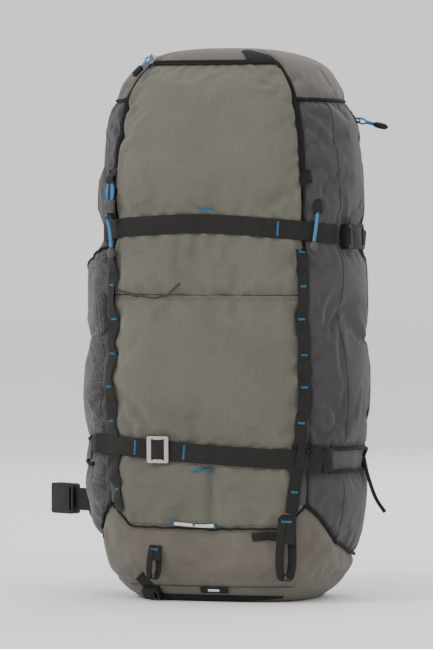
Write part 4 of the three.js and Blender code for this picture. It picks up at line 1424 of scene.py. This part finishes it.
def rest_on(piece, points, out, lift):
    """Points moved along their normals to lie on a pad, then pulled tight."""
    found = []
    for point, normal_there in zip(points, out):
        start = Vector(point + normal_there * 0.04)
        hit, place, _, _ = piece.ray_cast(start, -Vector(normal_there))
        found.append(np.array(place) if hit else point)
    laid = np.array(found) + out * lift
    side = np.tile((1.0, 0, 0), (len(points), 1))
    return tighten(laid, side, out, 10)[0]


def make_pad(name, node, body, points, side, width, thickness, direction):
    """A pad with mesh on the face that looks along a direction, bound round its edge."""
    piece, outline = loft(name, points, side, width, thickness, "pad_cloth", 0.02, 40)
    puff(piece, np.concatenate([outline, outline[:1]]))
    two_faced(piece, "pad_mesh", direction)
    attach(piece, body)
    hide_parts(node)
    tube(f"{name}_binding", body, outline, 0.0028, "binding", 10)
    return piece


def make_back():
    for sign, name in ((-1, "left"), (1, "right")):
        z = np.linspace(0.157, 0.453, 60)
        points = np.stack([np.full(60, sign * 0.040), np.full(60, 0.0945), z], -1)
        side = np.tile((1.0, 0, 0), (60, 1))
        make_pad(f"pad_back_{name}", f"back_pad_{name}", "bag", points, side, 0.060, 0.0115, (0, 1, 0))
    x = np.linspace(-0.063, 0.063, 40)
    points = np.stack([x, np.full(40, 0.0955), np.full(40, 0.108)], -1)
    make_pad("pad_lumbar", "lumbar_pad", "bag", points, np.tile((0, 0, 1.0), (40, 1)), 0.072, 0.0135,
             (0, 1, 0))


SHOULDER = [(40, 98, 478), (45, 120, 489), (52, 134, 470), (58, 140, 410), (62, 139, 340), (66, 133, 275),
            (70, 124, 232)]
LIFTER = [(50, 131.8, 491), (54, 114, 510), (60, 94.5, 530)]
LOWER_WEB = [(71.6, 116.4, 201), (86, 107, 187), (98, 91, 171)]


def make_harness():
    for sign, name in ((-1, "left"), (1, "right")):
        body = f"harness_{name}"
        mirror = np.array((sign, 1, 1)) * MM
        points = smooth_line(np.array(SHOULDER) * mirror, 110)
        f = np.linspace(0, 1, 110)
        width = (66 - 14 * f - 10 * np.clip((f - 0.7) / 0.3, 0, 1)) * MM
        side = np.tile((1.0, 0, 0), (110, 1))
        pad = make_pad(f"pad_shoulder_{name}", f"shoulder_strap_{name}", body, points, side, width,
                       (12 - 3 * f) * MM, (0, -1, 0))
        along = unit(np.gradient(points, axis=0))
        out = np.cross(along, side)
        if out[60][1] < 0:
            out = -out
        line = slice(14, 110)
        raised = rest_on(pad, points[line], out[line], 0.0014)
        tape(f"shoulder_web_{name}", body, raised, side[line], 0.02, 0.0016)
        for k in range(7):
            i = 4 + k * 14
            tack(f"shoulder_tack_{name}_{k}", body, raised[i] + out[line][i] * 0.001, side[i], out[line][i],
                 0.016, 0.0026, "thread" if k % 2 else "dark_thread")
        lifter = smooth_line(np.array(LIFTER) * mirror, 30)
        web = tape(f"lifter_web_{name}", "bag", lifter, np.tile((1.0, 0, 0), (30, 1)), 0.015, 0.0016)
        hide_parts(f"load_lifter_{name}")
        web.parent = None
        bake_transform(web)
        lower = smooth_line(np.array(LOWER_WEB) * mirror, 30)
        web = tape(f"lower_web_{name}", "bag", lower, np.tile((1.0, 0, 0.4 * sign), (30, 1)), 0.018, 0.0016)
        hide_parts(f"lower_webbing_{name}")
        web.parent = None
        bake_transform(web)
        refined(f"ladder_lock_{name}", "plastic", 0.0007)
        refined(f"chest_strap_{name}", "plastic", 0.0005)
        x = np.linspace(30.5, 52, 20) * sign * MM
        web = np.stack([x, np.full(20, 0.150), np.full(20, 0.392)], -1)
        tape(f"chest_web_{name}", f"chest_{name}", web, np.tile((0, 0, 1.0), (20, 1)), 0.0156, 0.0026)
    for node in ("chest_socket", "chest_tongue", "hip_socket", "hip_tongue", "upper_buckle_socket",
                 "upper_buckle_tongue"):
        refined(node, "plastic", 0.0009)


WINGS = {"left": (-84, 150, "hip_socket"), "right": (84, 125, "hip_tongue")}


def make_belt():
    for name, (pivot, angle, buckle) in WINGS.items():
        body = f"hip_{name}"
        turn = math.radians(angle)
        direction = np.array((math.cos(turn), math.sin(turn), 0))
        x = np.linspace(4, 150, 60)
        fall = np.interp(x, [4, 60, 150], [0, -2, -6])
        start = np.array((pivot, 101, 96))
        points = (start + direction * x[:, None] + np.array((0, 0, 1)) * fall[:, None]) * MM
        f = (x - 4) / 146
        side = np.tile((0, 0, 1.0), (60, 1))
        out = np.array((-direction[1], direction[0], 0))
        inner = out if out[1] > 0 else -out
        pad = make_pad(f"pad_wing_{name}", f"hip_wing_{name}", body, points, side, (78 - 30 * f) * MM,
                       (12 - 3 * f) * MM, tuple(inner))
        outer = rest_on(pad, points[4:58], np.tile(-inner, (54, 1)), 0.0014)
        tape(f"belt_web_{name}", body, outer, side[:54], 0.025, 0.0018)
        x = np.linspace(146, 171, 24)
        web = (start + direction * x[:, None] + np.array((0, 0, -6))) * MM
        end = tape(f"belt_end_{name}", body, web, np.tile((0, 0, 1.0), (24, 1)), 0.025, 0.0018)
        end.parent = None
        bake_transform(end)
        tack(f"belt_tack_{name}", body, outer[46] - inner * 0.0011, side[0], -inner, 0.02, 0.0028, "thread")


def paint_inside():
    frame["nodes"]["frame_sheet"].data.materials[0] = PAINTS["sheet"]
    for name in ("left", "right"):
        frame["nodes"][f"stay_{name}"].data.materials[0] = PAINTS["stay"]


make_back()
make_harness()
make_belt()
paint_inside()

# ---------------------------------------------------------------- stitching, and the end

make_stitches()
